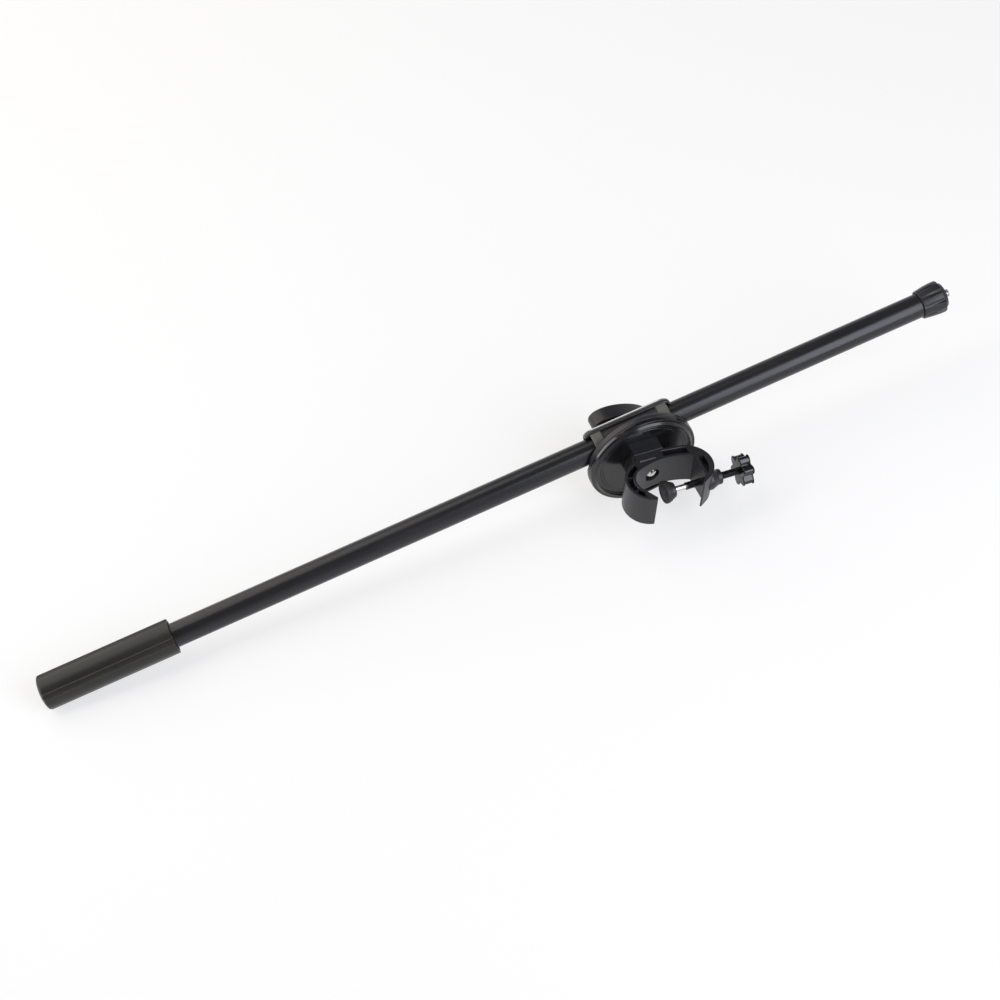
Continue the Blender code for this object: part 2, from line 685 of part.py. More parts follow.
def make_friction_ring():
    profile = ring_profile(RING_OUTER_R, RING_INNER_R, SADDLE_DISC_FRONT, SADDLE_DISC_FRONT - RING_THICK)
    ring = turned("friction_ring", profile, ROUND, BOOM_FRAME, TO_FRONT, ring=True)
    return dress(ring, (0.06, 0.05, 0.045), 0.9)


# Stand side: front disc, C clamp, plate and bolt

def make_front_disc():
    back = FRONT_DISC_BACK
    profile = [
        (0.0, back + FRONT_DISC_WEB),
        (FRONT_WELL_R, back + FRONT_DISC_WEB),
        (FRONT_WELL_R, back + FRONT_DISC_LIP),
        (FRONT_LIP_R, back + FRONT_DISC_LIP),
        (CLUTCH_R - CLUTCH_EDGE, back + FRONT_DISC_RIM + CLUTCH_EDGE),
        (CLUTCH_R, back + FRONT_DISC_RIM),
        (CLUTCH_R, back + CLUTCH_EDGE),
        (CLUTCH_R - CLUTCH_EDGE, back),
        (0.0, back),
    ]
    disc = turned("front_disc", profile, FINE, STAND_FRAME, TO_FRONT)
    low = (-BLOCK_HALF_WIDTH, -BLOCK_FRONT, CLAMP_BOTTOM)
    high = (BLOCK_HALF_WIDTH, -back - OVERLAP, CLAMP_TOP)
    join(disc, box("disc_block", low, high, STAND_FRAME, cutter=True))
    hole = rod("disc_bolt_hole", BOLT_HOLE_R, BLOCK_FRONT + OVERLAP, back - OVERLAP, SMALL,
               STAND_FRAME, TO_FRONT, cutter=True)
    cut(disc, hole)
    return dress(disc, (0.018, 0.018, 0.019), 0.36)


def shoulder_point(angle, inset=0.0):
    """Point of the clamp's rounded shoulder, or of the same curve moved inwards."""
    x = SHOULDER_CENTRE.x + (SHOULDER_HALF_WIDTH - inset) * math.cos(angle)
    y = SHOULDER_CENTRE.y + (SHOULDER_HALF_DEPTH - inset) * math.sin(angle)
    return (x, y)


def back_wall_centre():
    """Centre of the arc behind the jaw, which runs from the hook's bore to the arm."""
    left = HOOK_BORE_CENTRE + HOOK_INNER_R * Vector((math.cos(HOOK_BORE_START), math.sin(HOOK_BORE_START)))
    right = Vector((ARM_INNER, BACK_WALL_RIGHT))
    chord = right - left
    sink = math.sqrt(BACK_WALL_R ** 2 - chord.length_squared / 4)
    return (left + right) / 2 + Vector((chord.y, -chord.x)).normalized() * sink


def back_wall_arc(left_x, right_x, inset, steps):
    """Points of the inner back wall from right to left, moved into the wall by inset."""
    centre = back_wall_centre()
    radius = BACK_WALL_R + inset
    start = math.acos((right_x - centre.x) / radius)
    end = math.acos((left_x - centre.x) / radius)
    return arc(centre, radius, start, end, steps)


def clamp_outline():
    chamfer = CLAMP_WALL / 3
    hook_outer = arc(HOOK_CENTRE, HOOK_OUTER_R, HOOK_TIP_ANGLE, HOOK_BACK_ANGLE, 12)
    hook_bore = arc(HOOK_BORE_CENTRE, HOOK_INNER_R, HOOK_BORE_START, HOOK_BORE_END, 9)
    steps = 13
    angles = [math.pi / 2 + (SHOULDER_END - math.pi / 2) * step / steps for step in range(steps + 1)]
    back_wall = back_wall_arc(hook_bore[0][0], ARM_INNER, 0.0, 9)[1:-1]
    return [
        *hook_outer,
        (-BLOCK_HALF_WIDTH, -chamfer),
        (-BLOCK_HALF_WIDTH + chamfer, 0.0),
        (BLOCK_HALF_WIDTH, 0.0),
        *[shoulder_point(angle) for angle in angles],
        tuple(ARM_TIP),
        (ARM_TIP.x - ARM_TIP_WIDTH, ARM_TIP.y + ARM_TIP_WIDTH),
        (ARM_INNER, ARM_TAPER_START),
        (ARM_INNER, BACK_WALL_RIGHT),
        *back_wall,
        *hook_bore,
        tuple(HOOK_TIP_INNER),
    ]


def hook_pocket(start, end, inner_end=None):
    outer = arc(HOOK_CENTRE, HOOK_OUTER_R - CLAMP_WALL, start, end, 5)
    inner = arc(HOOK_BORE_CENTRE, HOOK_INNER_R + CLAMP_WALL, inner_end or end, start, 5)
    return outer + inner


def back_pocket():
    inset = CLAMP_WALL
    back_end = math.acos((BACK_POCKET_RIGHT - SHOULDER_CENTRE.x) / (SHOULDER_HALF_WIDTH - inset))
    steps = 4
    angles = [math.pi / 2 + (back_end - math.pi / 2) * step / steps for step in range(steps + 1)]
    outer = [(BACK_POCKET_LEFT, -inset), *[shoulder_point(angle, inset) for angle in angles]]
    return outer + back_wall_arc(BACK_POCKET_LEFT, BACK_POCKET_RIGHT, inset, 5)


def arm_pocket():
    inset = CLAMP_WALL
    inner = ARM_INNER + inset
    sides = []
    for y in (ARM_POCKET_BACK, (ARM_POCKET_BACK + ARM_POCKET_FRONT) / 2, ARM_POCKET_FRONT):
        angle = math.asin((y - SHOULDER_CENTRE.y) / (SHOULDER_HALF_DEPTH - inset))
        x = shoulder_point(angle, 2 * inset)[0]
        sides.append((x, y))
    return [(inner, ARM_POCKET_BACK), *sides, (inner, ARM_POCKET_FRONT)]


def clamp_pockets():
    first, middle, last = HOOK_POCKET_ANGLES
    yield "hook_pocket_back", hook_pocket(first, middle)
    yield "hook_pocket_side", hook_pocket(middle + POCKET_RIB, last)
    yield "hook_pocket_tip", hook_pocket(last + POCKET_RIB, TIP_POCKET_END, TIP_POCKET_INNER_END)
    yield "back_pocket", back_pocket()
    yield "arm_pocket", arm_pocket()


def make_clamp():
    flat = (0.0, 0.0, 0.0)
    clamp = plate("c_clamp_body", clamp_outline(), CLAMP_BOTTOM, CLAMP_TOP, CLAMP_FRAME, flat)
    root = ARM_INNER + 2 * CLAMP_WALL
    cone = BOSS_END - BOSS_STRAIGHT
    boss = [
        (0.0, BOSS_END),
        (BOSS_R, BOSS_END),
        (BOSS_R, cone),
        (BOSS_ROOT_R, cone - BOSS_CONE),
        (BOSS_ROOT_R, root),
        (0.0, root),
    ]
    join(clamp, turned("clamp_boss", boss, SMALL, JAW_FRAME, ALONG_ARM, cutter=True))
    top_floor = CLAMP_TOP - POCKET_DEPTH
    over = CLAMP_TOP + OVERLAP
    bottom_floor = CLAMP_BOTTOM + POCKET_DEPTH
    under = CLAMP_BOTTOM - OVERLAP
    cutters = []
    for name, outline in clamp_pockets():
        cutters.append(plate(name + "_top", outline, top_floor, over, CLAMP_FRAME, flat, cutter=True))
        cutters.append(plate(name + "_bottom", outline, under, bottom_floor, CLAMP_FRAME, flat, cutter=True))
    low = (PLATE_LEFT - TOUCH, -PLATE_FRONT - TOUCH, CLAMP_TOP - PLATE_TOP_DEPTH - PLATE_HEIGHT - TOUCH)
    high = (PLATE_RIGHT + TOUCH, -PLATE_DEPTH + TOUCH, over)
    cutters.append(box("plate_slot", low, high, CLAMP_FRAME, cutter=True))
    cutters.append(rod("clamp_bolt_hole", BOLT_HOLE_R, PLATE_FRONT, -OVERLAP, SMALL,
                       CLAMP_FRAME, TO_FRONT, cutter=True))
    cutters.append(rod("head_hole", HEAD_HOLE_R, SCREW_FRONT, PLATE_FRONT, SMALL,
                       CLAMP_FRAME, TO_FRONT, cutter=True))
    insert_left = BOSS_END - JAW_INSERT_LENGTH - TOUCH
    cutters.append(rod("insert_hole", JAW_INSERT_R + TOUCH, BOSS_END + OVERLAP, insert_left, SMALL,
                       JAW_FRAME, ALONG_ARM, cutter=True))
    cutters.append(rod("screw_hole", SCREW_R + RUNNING, insert_left + OVERLAP, ARM_INNER - CLAMP_WALL, SMALL,
                       JAW_FRAME, ALONG_ARM, cutter=True))
    cut(clamp, *cutters)
    return dress(clamp, (0.020, 0.020, 0.021), 0.45)


def make_bolt_plate():
    top = CLAMP_TOP - PLATE_TOP_DEPTH
    low = (PLATE_LEFT, -PLATE_FRONT, top - PLATE_HEIGHT)
    high = (PLATE_RIGHT, -PLATE_DEPTH, top)
    strip = box("bolt_plate", low, high, CLAMP_FRAME)
    cut(strip, rod("plate_hole", BOLT_HOLE_R, PLATE_FRONT + OVERLAP, PLATE_DEPTH - OVERLAP, SMALL,
                   CLAMP_FRAME, TO_FRONT, cutter=True))
    return dress(strip, (0.60, 0.60, 0.60), 0.28, 1.0)


def make_main_bolt():
    back = BOLT_HEAD_BACK
    front = back + BOLT_HEAD_HEIGHT
    dome = BOLT_HEAD_HEIGHT / 2
    profile = [
        (0.0, front),
        (BOLT_HEAD_R - dome, front),
        (BOLT_HEAD_R, back + dome),
        (BOLT_HEAD_R, back),
        (BOLT_R, back),
        (BOLT_R, -BOLT_TAIL),
        (0.0, -BOLT_TAIL),
    ]
    bolt = turned("main_bolt", profile, SMALL, STAND_FRAME, TO_FRONT)
    return dress(bolt, (0.62, 0.62, 0.62), 0.25, 1.0)


# Knob that locks the clutch

def make_lock_washer():
    top = LOCK_WASHER_FRONT + LOCK_WASHER_HEIGHT
    profile = ring_profile(LOCK_WASHER_R, BOLT_HOLE_R, top, LOCK_WASHER_FRONT)
    washer = turned("lock_washer", profile, SMALL, LOCK_FRAME, TO_BACK, ring=True)
    return dress(washer, (0.55, 0.55, 0.55), 0.3, 1.0)


def make_lock_knob():
    outline = ellipse(KNOB_HALF_LENGTH, KNOB_HALF_WIDTH, ROUND)
    knob = plate("lock_knob", outline, KNOB_FRONT, KNOB_BACK, LOCK_FRAME, TO_BACK)
    edge = knob.modifiers.new("edge", "BEVEL")
    edge.width = KNOB_EDGE
    edge.segments = 2
    edge.limit_method = "ANGLE"
    edge.angle_limit = math.radians(60.0)
    pocket_outline = ellipse(KNOB_HALF_LENGTH - KNOB_SHELL, KNOB_HALF_WIDTH - KNOB_SHELL, ROUND)
    pocket = plate("knob_pocket", pocket_outline, KNOB_FRONT - OVERLAP, KNOB_BACK - KNOB_SHELL,
                   LOCK_FRAME, TO_BACK, cutter=True)
    hub = rod("knob_hub", KNOB_HUB_R, KNOB_BACK, KNOB_FRONT - 2 * OVERLAP, SMALL, LOCK_FRAME, TO_BACK,
              cutter=True)
    cut(pocket, hub)
    insert_end = KNOB_FRONT + KNOB_INSERT_LENGTH + TOUCH
    hole = rod("knob_insert_hole", KNOB_INSERT_R + TOUCH, insert_end, KNOB_FRONT - OVERLAP, SMALL,
               LOCK_FRAME, TO_BACK, cutter=True)
    cut(knob, pocket, hole)
    return dress(knob, (0.018, 0.018, 0.019), 0.40)


def make_knob_insert():
    top = KNOB_FRONT + KNOB_INSERT_LENGTH
    profile = ring_profile(KNOB_INSERT_R, BOLT_R + INSERT_BORE_GAP, top, KNOB_FRONT)
    insert = turned("knob_insert", profile, SMALL, LOCK_FRAME, TO_BACK, ring=True)
    return dress(insert, (0.62, 0.45, 0.20), 0.35, 1.0)


# Jaw screw with its pad and knob

def make_jaw_insert():
    profile = ring_profile(JAW_INSERT_R, SCREW_R + INSERT_BORE_GAP, BOSS_END, BOSS_END - JAW_INSERT_LENGTH)
    insert = turned("jaw_insert", profile, SMALL, JAW_FRAME, ALONG_ARM, ring=True)
    return dress(insert, (0.62, 0.45, 0.20), 0.35, 1.0)


def make_screw():
    tip = CLIP_START - TOUCH - CLIP_THICK / 2
    groove_start = CLIP_START - TOUCH
    groove_end = CLIP_START + CLIP_THICK + TOUCH
    tail = STAR_START + STAR_SCREW_DEPTH
    profile = [
        (0.0, tail),
        (SCREW_R, tail),
        (SCREW_R, SCREW_NECK_END),
        (SCREW_NECK_R, SCREW_NECK_END),
        (SCREW_NECK_R, groove_end),
        (CLIP_GROOVE_R, groove_end),
        (CLIP_GROOVE_R, groove_start),
        (SCREW_NECK_R, groove_start),
        (SCREW_NECK_R, tip),
        (0.0, tip),
    ]
    screw = turned("clamp_screw", profile, SMALL, JAW_FRAME, ALONG_ARM)
    return dress(screw, (0.06, 0.06, 0.065), 0.35, 0.9)


def make_clip():
    profile = ring_profile(CLIP_R, CLIP_GROOVE_R + TOUCH, CLIP_START + CLIP_THICK, CLIP_START)
    clip = turned("pad_clip", profile, SMALL, JAW_FRAME, ALONG_ARM, ring=True)
    return dress(clip, (0.55, 0.55, 0.55), 0.3, 1.0)


def make_hub():
    bore = SCREW_NECK_R + TOUCH
    seat = PAD_FACE + PAD_THICK + TOUCH
    profile = [
        (HUB_R, HUB_END),
        (HUB_R, HUB_FLANGE_END),
        (HUB_FLANGE_R, HUB_FLANGE_END),
        (HUB_FLANGE_R, seat),
        (HUB_SPIGOT_R, seat),
        (HUB_SPIGOT_R, HUB_SPIGOT_START),
        (bore, HUB_SPIGOT_START),
        (bore, HUB_END),
    ]
    hub = turned("pad_hub", profile, SMALL, JAW_FRAME, ALONG_ARM, ring=True)
    return dress(hub, (0.022, 0.022, 0.023), 0.5)


def make_pad():
    back = PAD_FACE + PAD_THICK
    edge = CLUTCH_EDGE
    recess = HUB_SPIGOT_R + TOUCH
    floor = PAD_FACE + PAD_FLOOR
    profile = [
        (recess, back),
        (PAD_R - edge, back),
        (PAD_R, back - edge),
        (PAD_R, PAD_FACE + edge),
        (PAD_R - edge, PAD_FACE),
        (0.0, PAD_FACE),
    ]
    inside = [(0.0, floor), (recess, floor)]
    pad = turned("rubber_pad", [*inside, *profile], SMALL, JAW_FRAME, ALONG_ARM)
    return dress(pad, (0.020, 0.020, 0.020), 0.8)


def star_outline():
    """Round lobes with round hollows between them."""
    points = []
    steps = 12
    for index in range(STAR_LOBES * steps):
        angle = math.tau * index / (STAR_LOBES * steps)
        wave = 0.5 + 0.5 * math.cos(STAR_LOBES * angle)
        radius = STAR_VALLEY_R + (STAR_R - STAR_VALLEY_R) * wave ** STAR_LOBE_POWER
        turn = angle + STAR_TURN
        points.append((radius * math.cos(turn), radius * math.sin(turn)))
    return points


def make_star_knob():
    end = STAR_START + STAR_LENGTH
    knob = plate("screw_knob", star_outline(), STAR_START, end, JAW_FRAME, ALONG_ARM)
    hole_end = STAR_START + STAR_SCREW_DEPTH + TOUCH
    cut(knob, rod("knob_screw_hole", SCREW_R + TOUCH, hole_end, STAR_START - OVERLAP, SMALL,
                  JAW_FRAME, ALONG_ARM, cutter=True))
    return dress(knob, (0.015, 0.015, 0.016), 0.25)


# Assembly

def stand_on_origin(pieces):
    """Move the whole arm so that the middle of its base is the origin."""
    bpy.context.view_layer.update()
    graph = bpy.context.evaluated_depsgraph_get()
    low = Vector((math.inf, math.inf, math.inf))
    high = -low
    for piece in pieces:
        evaluated = piece.evaluated_get(graph)
        mesh = evaluated.to_mesh()
        for vertex in mesh.vertices:
            corner = evaluated.matrix_world @ vertex.co
            low = Vector(map(min, low, corner))
            high = Vector(map(max, high, corner))
        evaluated.to_mesh_clear()
    ORIGIN.location -= Vector(((low.x + high.x) / 2, (low.y + high.y) / 2, low.z))
    bpy.context.view_layer.update()


def build():
    makers = (
        make_tube, make_tube_plug, make_grip, make_end_bush, make_stud, make_stud_washer, make_locknut,
        make_collar, make_liner, make_saddle, make_shoe, make_friction_ring, make_front_disc, make_clamp,
        make_bolt_plate, make_main_bolt, make_lock_washer, make_lock_knob, make_knob_insert,
        make_jaw_insert, make_screw, make_clip, make_hub, make_pad, make_star_knob,
    )
    stand_on_origin([maker() for maker in makers])


clear_scene()
PARTS = new_collection("crossbar_arm", bpy.context.scene.collection)
CUTTERS = new_collection("cutters", bpy.context.scene.collection)
ORIGIN = new_frame("arm_origin", None)
CLUTCH_CENTRE = (0.0, 0.0, CLUTCH_R)
BOOM_FRAME = new_frame("boom_frame", ORIGIN, CLUTCH_CENTRE, (0.0, -rest_tilt(), 0.0))
BOOM_AXIS = new_frame("boom_axis", BOOM_FRAME, (0.0, 0.0, TUBE_RISE))
STAND_FRAME = new_frame("stand_frame", ORIGIN, CLUTCH_CENTRE, (0.0, CLAMP_TURN, 0.0))
CLAMP_FRAME = new_frame("clamp_frame", STAND_FRAME, (0.0, -CLAMP_BACK, 0.0))
JAW_FRAME = new_frame("jaw_frame", CLAMP_FRAME, (0.0, -SCREW_FRONT, 0.0))
LOCK_FRAME = new_frame("lock_frame", ORIGIN, CLUTCH_CENTRE, (0.0, KNOB_TURN, 0.0))
build()
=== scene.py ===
"""Looks of a crossbar arm for a light stand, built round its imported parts.

Pieces are modelled in millimetres on axes of their own: the tube's, the clamp's, the jaw screw's or
the lock knob's. `show` carries each one to its place in the frame, which is in metres.
"""

import json
import math

import bmesh
import bpy
from bpy.props import FloatProperty, FloatVectorProperty, IntProperty, PointerProperty
from mathutils import Matrix, Vector


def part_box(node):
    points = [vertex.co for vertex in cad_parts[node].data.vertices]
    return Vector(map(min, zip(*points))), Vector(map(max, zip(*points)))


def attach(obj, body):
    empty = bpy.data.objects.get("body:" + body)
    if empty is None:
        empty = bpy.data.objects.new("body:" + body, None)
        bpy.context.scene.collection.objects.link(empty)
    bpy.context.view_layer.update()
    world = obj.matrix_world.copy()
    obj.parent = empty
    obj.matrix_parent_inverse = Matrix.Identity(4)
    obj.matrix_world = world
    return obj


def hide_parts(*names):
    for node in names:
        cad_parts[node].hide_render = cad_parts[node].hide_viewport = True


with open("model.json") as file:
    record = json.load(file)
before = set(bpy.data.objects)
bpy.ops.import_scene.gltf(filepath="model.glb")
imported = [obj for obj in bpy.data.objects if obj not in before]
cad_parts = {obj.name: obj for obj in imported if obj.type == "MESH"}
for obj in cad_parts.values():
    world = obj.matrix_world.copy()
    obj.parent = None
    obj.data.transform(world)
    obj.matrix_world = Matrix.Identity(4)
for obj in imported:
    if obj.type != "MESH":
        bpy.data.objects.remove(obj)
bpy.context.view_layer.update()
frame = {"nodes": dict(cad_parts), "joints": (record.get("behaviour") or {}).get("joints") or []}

bl_info = {
    "name": "Crossbar arm",
    "version": (1, 0, 0),
    "blender": (4, 5, 0),
    "location": "3D View > Sidebar > Crossbar arm",
    "description": "Builds the pieces, finishes and studio of a crossbar arm for a light stand",
    "category": "Add Mesh",
}

MM = 0.001
UP = Vector((0.0, 0.0, 1.0))

# Segments round a full turn, for large, middling and small pieces
LARGE = 160
MIDDLE = 96
SMALL = 64

# Clearance between pieces that fit into one another, in millimetres
FIT = 0.3

# Turns that lay a piece's own Z along the arm, to the front or to the back
ALONG = Matrix.Rotation(math.radians(90.0), 4, "Y")
TO_FRONT = Matrix.Rotation(math.radians(90.0), 4, "X")
TO_BACK = Matrix.Rotation(math.radians(-90.0), 4, "X")


# Axes of the arm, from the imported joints

def axes_at(origin, along):
    """Axes with X along a direction and Z as near to up as that allows."""
    x = Vector(along).normalized()
    y = UP.cross(x).normalized()
    axes = Matrix((x, y, x.cross(y))).transposed().to_4x4()
    axes.translation = origin
    return axes


def joint_axis(name):
    """Place and direction of a packed joint."""
    joint = next(joint for joint in frame["joints"] if joint["name"] == name)
    return Vector(joint.get("pos_m", (0.0, 0.0, 0.0))), Vector(joint["axis"])


def shifted_back(axes, y):
    """The same axes, with their origin moved along Y to the given place."""
    moved = axes.copy()
    moved.translation.y = y
    return moved


SWIVEL, _ = joint_axis("clutch_swivel")
ROLL, TUBE_WAY = joint_axis("tube_roll")
_, CLOSING = joint_axis("pad_travel")
SCREW, _ = joint_axis("jaw_screw_turn")
CLUTCH = Vector((SWIVEL.x, ROLL.y, SWIVEL.z))
KNOB_TURN = math.radians(28.0)
TUBE = axes_at(ROLL, TUBE_WAY)
ARM = axes_at(CLUTCH, TUBE_WAY)
STAND = axes_at(CLUTCH, -CLOSING)
JAW = shifted_back(STAND, SCREW.y)
CLAMP = shifted_back(STAND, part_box("c_clamp_body")[1].y)
LOCK = Matrix.Translation(CLUTCH) @ Matrix.Rotation(KNOB_TURN, 4, "Y")


def span(name, axes):
    """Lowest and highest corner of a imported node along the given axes, in millimetres."""
    inward = axes.inverted()
    places = [inward @ vertex.co / MM for vertex in frame["nodes"][name].data.vertices]
    low = Vector([min(place[side] for place in places) for side in range(3)])
    high = Vector([max(place[side] for place in places) for side in range(3)])
    return low, high


# Settings

def linear(code):
    """Linear colour of an sRGB hex value, with its alpha."""
    shares = [int(code[start:start + 2], 16) / 255 for start in (1, 3, 5)]
    return (*[s / 12.92 if s <= 0.04045 else ((s + 0.055) / 1.055) ** 2.4 for s in shares], 1.0)


def paint(name, description, code):
    """Colour property whose default is an sRGB hex value."""
    return FloatVectorProperty(name=name, description=description, default=linear(code), size=4,
                               subtype="COLOR", min=0.0, max=1.0)


class ArmSizes(bpy.types.PropertyGroup):
    """Sizes of the arm's fine detail."""

    tube_wall: FloatProperty(
        name="Tube wall", description="Thickness of the tube's wall",
        default=0.0008, min=0.0003, unit="LENGTH")
    grip_wall: FloatProperty(
        name="Grip wall", description="Thickness of the grip's panels over its bore",
        default=0.0035, min=0.002, unit="LENGTH")
    grip_ridge: FloatProperty(
        name="Grip ridge", description="Height of the grip's ridges over its panels",
        default=0.0005, min=0.0, unit="LENGTH")
    collar_ribs: IntProperty(
        name="Collar ribs", description="Number of ribs round the thumb collar", default=10, min=3)
    star_lobes: IntProperty(
        name="Star lobes", description="Number of lobes of the screw's knob", default=6, min=3)
    stud_pitch: FloatProperty(
        name="Stud pitch", description="Distance between the crests of the stud's thread",
        default=0.00127, min=0.0005, unit="LENGTH")
    screw_pitch: FloatProperty(
        name="Screw pitch", description="Distance between the crests of the jaw screw's thread",
        default=0.001, min=0.0005, unit="LENGTH")
    clamp_wall: FloatProperty(
        name="Clamp wall", description="Thickness of the clamp's walls between its pockets",
        default=0.0021, min=0.001, unit="LENGTH")


class ArmColours(bpy.types.PropertyGroup):
    """Colours of the arm's finishes."""

    tube: paint("Tube", "Powder coat of the tube", "#1c1c1f")
    grip: paint("Grip", "Moulded grip", "#22211e")
    moulding: paint("Mouldings", "Clamp, saddle, shoe, collar and lock knob", "#222225")
    # Flanges: a paler colour painted on the saddle's two flanges, a painted highlight and not the
    # plastic's own colour
    flange: paint("Flanges", "Painted_highlight_on flanges of the saddle", "#5a5954")
    # Shoe line: a near white colour painted along the shoe's edge, a painted highlight where the edge
    # mirrors the bright floor
    seam: paint("Seam", "Painted_white_highlight line along the shoe", "#dcdcda")
    disc: paint("Disc", "Polished front disc", "#141416")
    knob: paint("Star knob", "Glossy knob of the screw", "#131315")
    bright: paint("Bright steel", "Zinc plated steel", "#c9c8c4")
    dark: paint("Dark steel", "Blackened steel", "#3a3a3d")
    brass: paint("Brass", "Turned brass inserts", "#c9a45c")
    rubber: paint("Rubber", "Pad of the jaw", "#1b1b1b")
    fibre: paint("Friction ring", "Pressed fibre ring", "#4a443d")


class ArmStudio(bpy.types.PropertyGroup):
    """Lights, floor and camera."""

    front_light: FloatProperty(
        name="Front light", description="Radiance of the softbox at the front right",
        default=4.7, min=0.0)
    back_light: FloatProperty(
        name="Back light", description="Radiance of the softbox at the back left",
        default=1.75, min=0.0)
    left_light: FloatProperty(
        name="Left light", description="Radiance of the narrow softbox at the left",
        default=5.0, min=0.0)
    fill_light: FloatProperty(
        name="Fill light", description="Light of the overhead fill at the arm, as a share of full white",
        default=0.08, min=0.0)
    horizon: FloatProperty(
        name="Horizon", description="Radiance of the room near the horizon", default=0.62, min=0.0)
    zenith: FloatProperty(
        name="Zenith", description="Radiance of the room overhead", default=0.13, min=0.0)
    floor: paint("Floor", "Colour of the paper floor", "#f3f3f3")
    shadow: FloatProperty(
        name="Shadow", description="Share of the floor's own light and shade that shows in the picture",
        default=0.38, min=0.0, max=1.0, subtype="FACTOR")
    lens: FloatProperty(
        name="Lens", description="Focal length of the camera, in millimetres", default=75.43, min=1.0)


def mm(length):
    """A property's length in millimetres."""
    return length / MM


# Shapes

def rounded(corners, closed=False, steps=4):
    """Outline through (x, y, radius) corners, each one rounded by its radius."""
    points = []
    count = len(corners)
    for index, (x, y, radius) in enumerate(corners):
        here = Vector((x, y))
        if not radius or (not closed and index in (0, count - 1)):
            points.append(here)
            continue
        before = (Vector(corners[index - 1][:2]) - here).normalized()
        after = (Vector(corners[(index + 1) % count][:2]) - here).normalized()
        half = before.angle(after) / 2
        centre = here + (before + after).normalized() * (radius / math.sin(half))
        first = here + before * (radius / math.tan(half)) - centre
        last = here + after * (radius / math.tan(half)) - centre
        turn = math.atan2(first.cross(last), first.dot(last))
        for step in range(steps + 1):
            points.append(centre + Matrix.Rotation(turn * step / steps, 2) @ first)
    return points


def arc(centre, radius, start, end, steps):
    """Points of an arc between two angles, both ends included."""
    angles = [start + (end - start) * step / steps for step in range(steps + 1)]
    return [Vector((centre[0] + radius * math.cos(a), centre[1] + radius * math.sin(a))) for a in angles]


WELD = 0.0002
CARVE_WELD = 0.0005


def clean(bm):
    """Merge the points that a spin leaves in one place, and turn the faces outwards."""
    bmesh.ops.remove_doubles(bm, verts=bm.verts, dist=WELD)
    bmesh.ops.recalc_face_normals(bm, faces=bm.faces)
    return bm


def turned(profile, steps=MIDDLE, ring=False):
    """Solid of revolution about Z through (radius, height) points. A ring's profile closes on itself."""
    bm = bmesh.new()
    corners = [bm.verts.new((point[0], 0.0, point[1])) for point in profile]
    following = corners[1:] + corners[:1] if ring else corners[1:]
    edges = [bm.edges.new(pair) for pair in zip(corners, following)]
    bmesh.ops.spin(bm, geom=corners + edges, cent=(0.0, 0.0, 0.0), axis=(0.0, 0.0, 1.0),
                   angle=math.tau, steps=steps, use_merge=True)
    return clean(bm)


def rod(radius, low, high, steps=SMALL, edge=0.0):
    """Round rod along Z with rounded ends."""
    corners = [(0.0, high, 0.0), (radius, high, edge), (radius, low, edge), (0.0, low, 0.0)]
    return turned(rounded(corners), steps)


def washer(outer, inner, low, high, steps=SMALL, edge=0.15):
    """Ring or tube along Z with rounded edges."""
    corners = [(outer, high, edge), (outer, low, edge), (inner, low, edge), (inner, high, edge)]
    return turned(rounded(corners, closed=True), steps, ring=True)


def lofted(rings, closed=False):
    """Solid through rings of points. It ends in flat caps, or its last ring joins its first."""
    bm = bmesh.new()
    line = [bm.verts.new(point) for point in rings[0]]
    first_edges = [bm.edges.new(pair) for pair in zip(line, line[1:] + line[:1])]
    edges = first_edges
    for ring in rings[1:]:
        made = bmesh.ops.extrude_edge_only(bm, edges=edges)["geom"]
        fresh = {item for item in made if isinstance(item, bmesh.types.BMVert)}
        line = [next(edge.other_vert(vertex) for edge in vertex.link_edges
                     if edge.other_vert(vertex) in fresh) for vertex in line]
        for vertex, point in zip(line, ring):
            vertex.co = point
        edges = [item for item in made if isinstance(item, bmesh.types.BMEdge)
                 and fresh.issuperset(item.verts)]
    if closed:
        bmesh.ops.bridge_loops(bm, edges=first_edges + edges)
    else:
        bmesh.ops.contextual_create(bm, geom=first_edges)
        bmesh.ops.contextual_create(bm, geom=edges)
    bmesh.ops.recalc_face_normals(bm, faces=bm.faces)
    return bm


def prism(outline, low, high):
    """Flat outline, thickened from the height low to the height high."""
    bm = bmesh.new()
    face = bm.faces.new([bm.verts.new((point[0], point[1], low)) for point in outline])
    made = bmesh.ops.extrude_face_region(bm, geom=[face])["geom"]
    top = [item for item in made if isinstance(item, bmesh.types.BMVert)]
    bmesh.ops.translate(bm, verts=top, vec=(0.0, 0.0, high - low))
    bmesh.ops.recalc_face_normals(bm, faces=bm.faces)
    return bm


def box(low, high):
    """Square block between two corners."""
    bm = bmesh.new()
    bmesh.ops.create_cube(bm, size=1.0)
    bmesh.ops.scale(bm, verts=bm.verts, vec=Vector(high) - Vector(low))
    bmesh.ops.translate(bm, verts=bm.verts, vec=(Vector(high) + Vector(low)) / 2)
    return bm


def soften(bm, width, limit=40.0, segments=3):
    """Round off the edges that are sharper than the limit, in degrees."""
    edges = [edge for edge in bm.edges if edge.calc_face_angle(0.0) > math.radians(limit)]
    bmesh.ops.bevel(bm, geom=edges, offset=width, offset_type="OFFSET", segments=segments, profile=0.5,
                    affect="EDGES", material=-1, clamp_overlap=True)
    return bm


def laid(bm, turn, offset=(0.0, 0.0, 0.0)):
    """The same shape, turned and then moved."""
    bmesh.ops.transform(bm, matrix=Matrix.Translation(offset) @ turn, verts=bm.verts)
    return bm


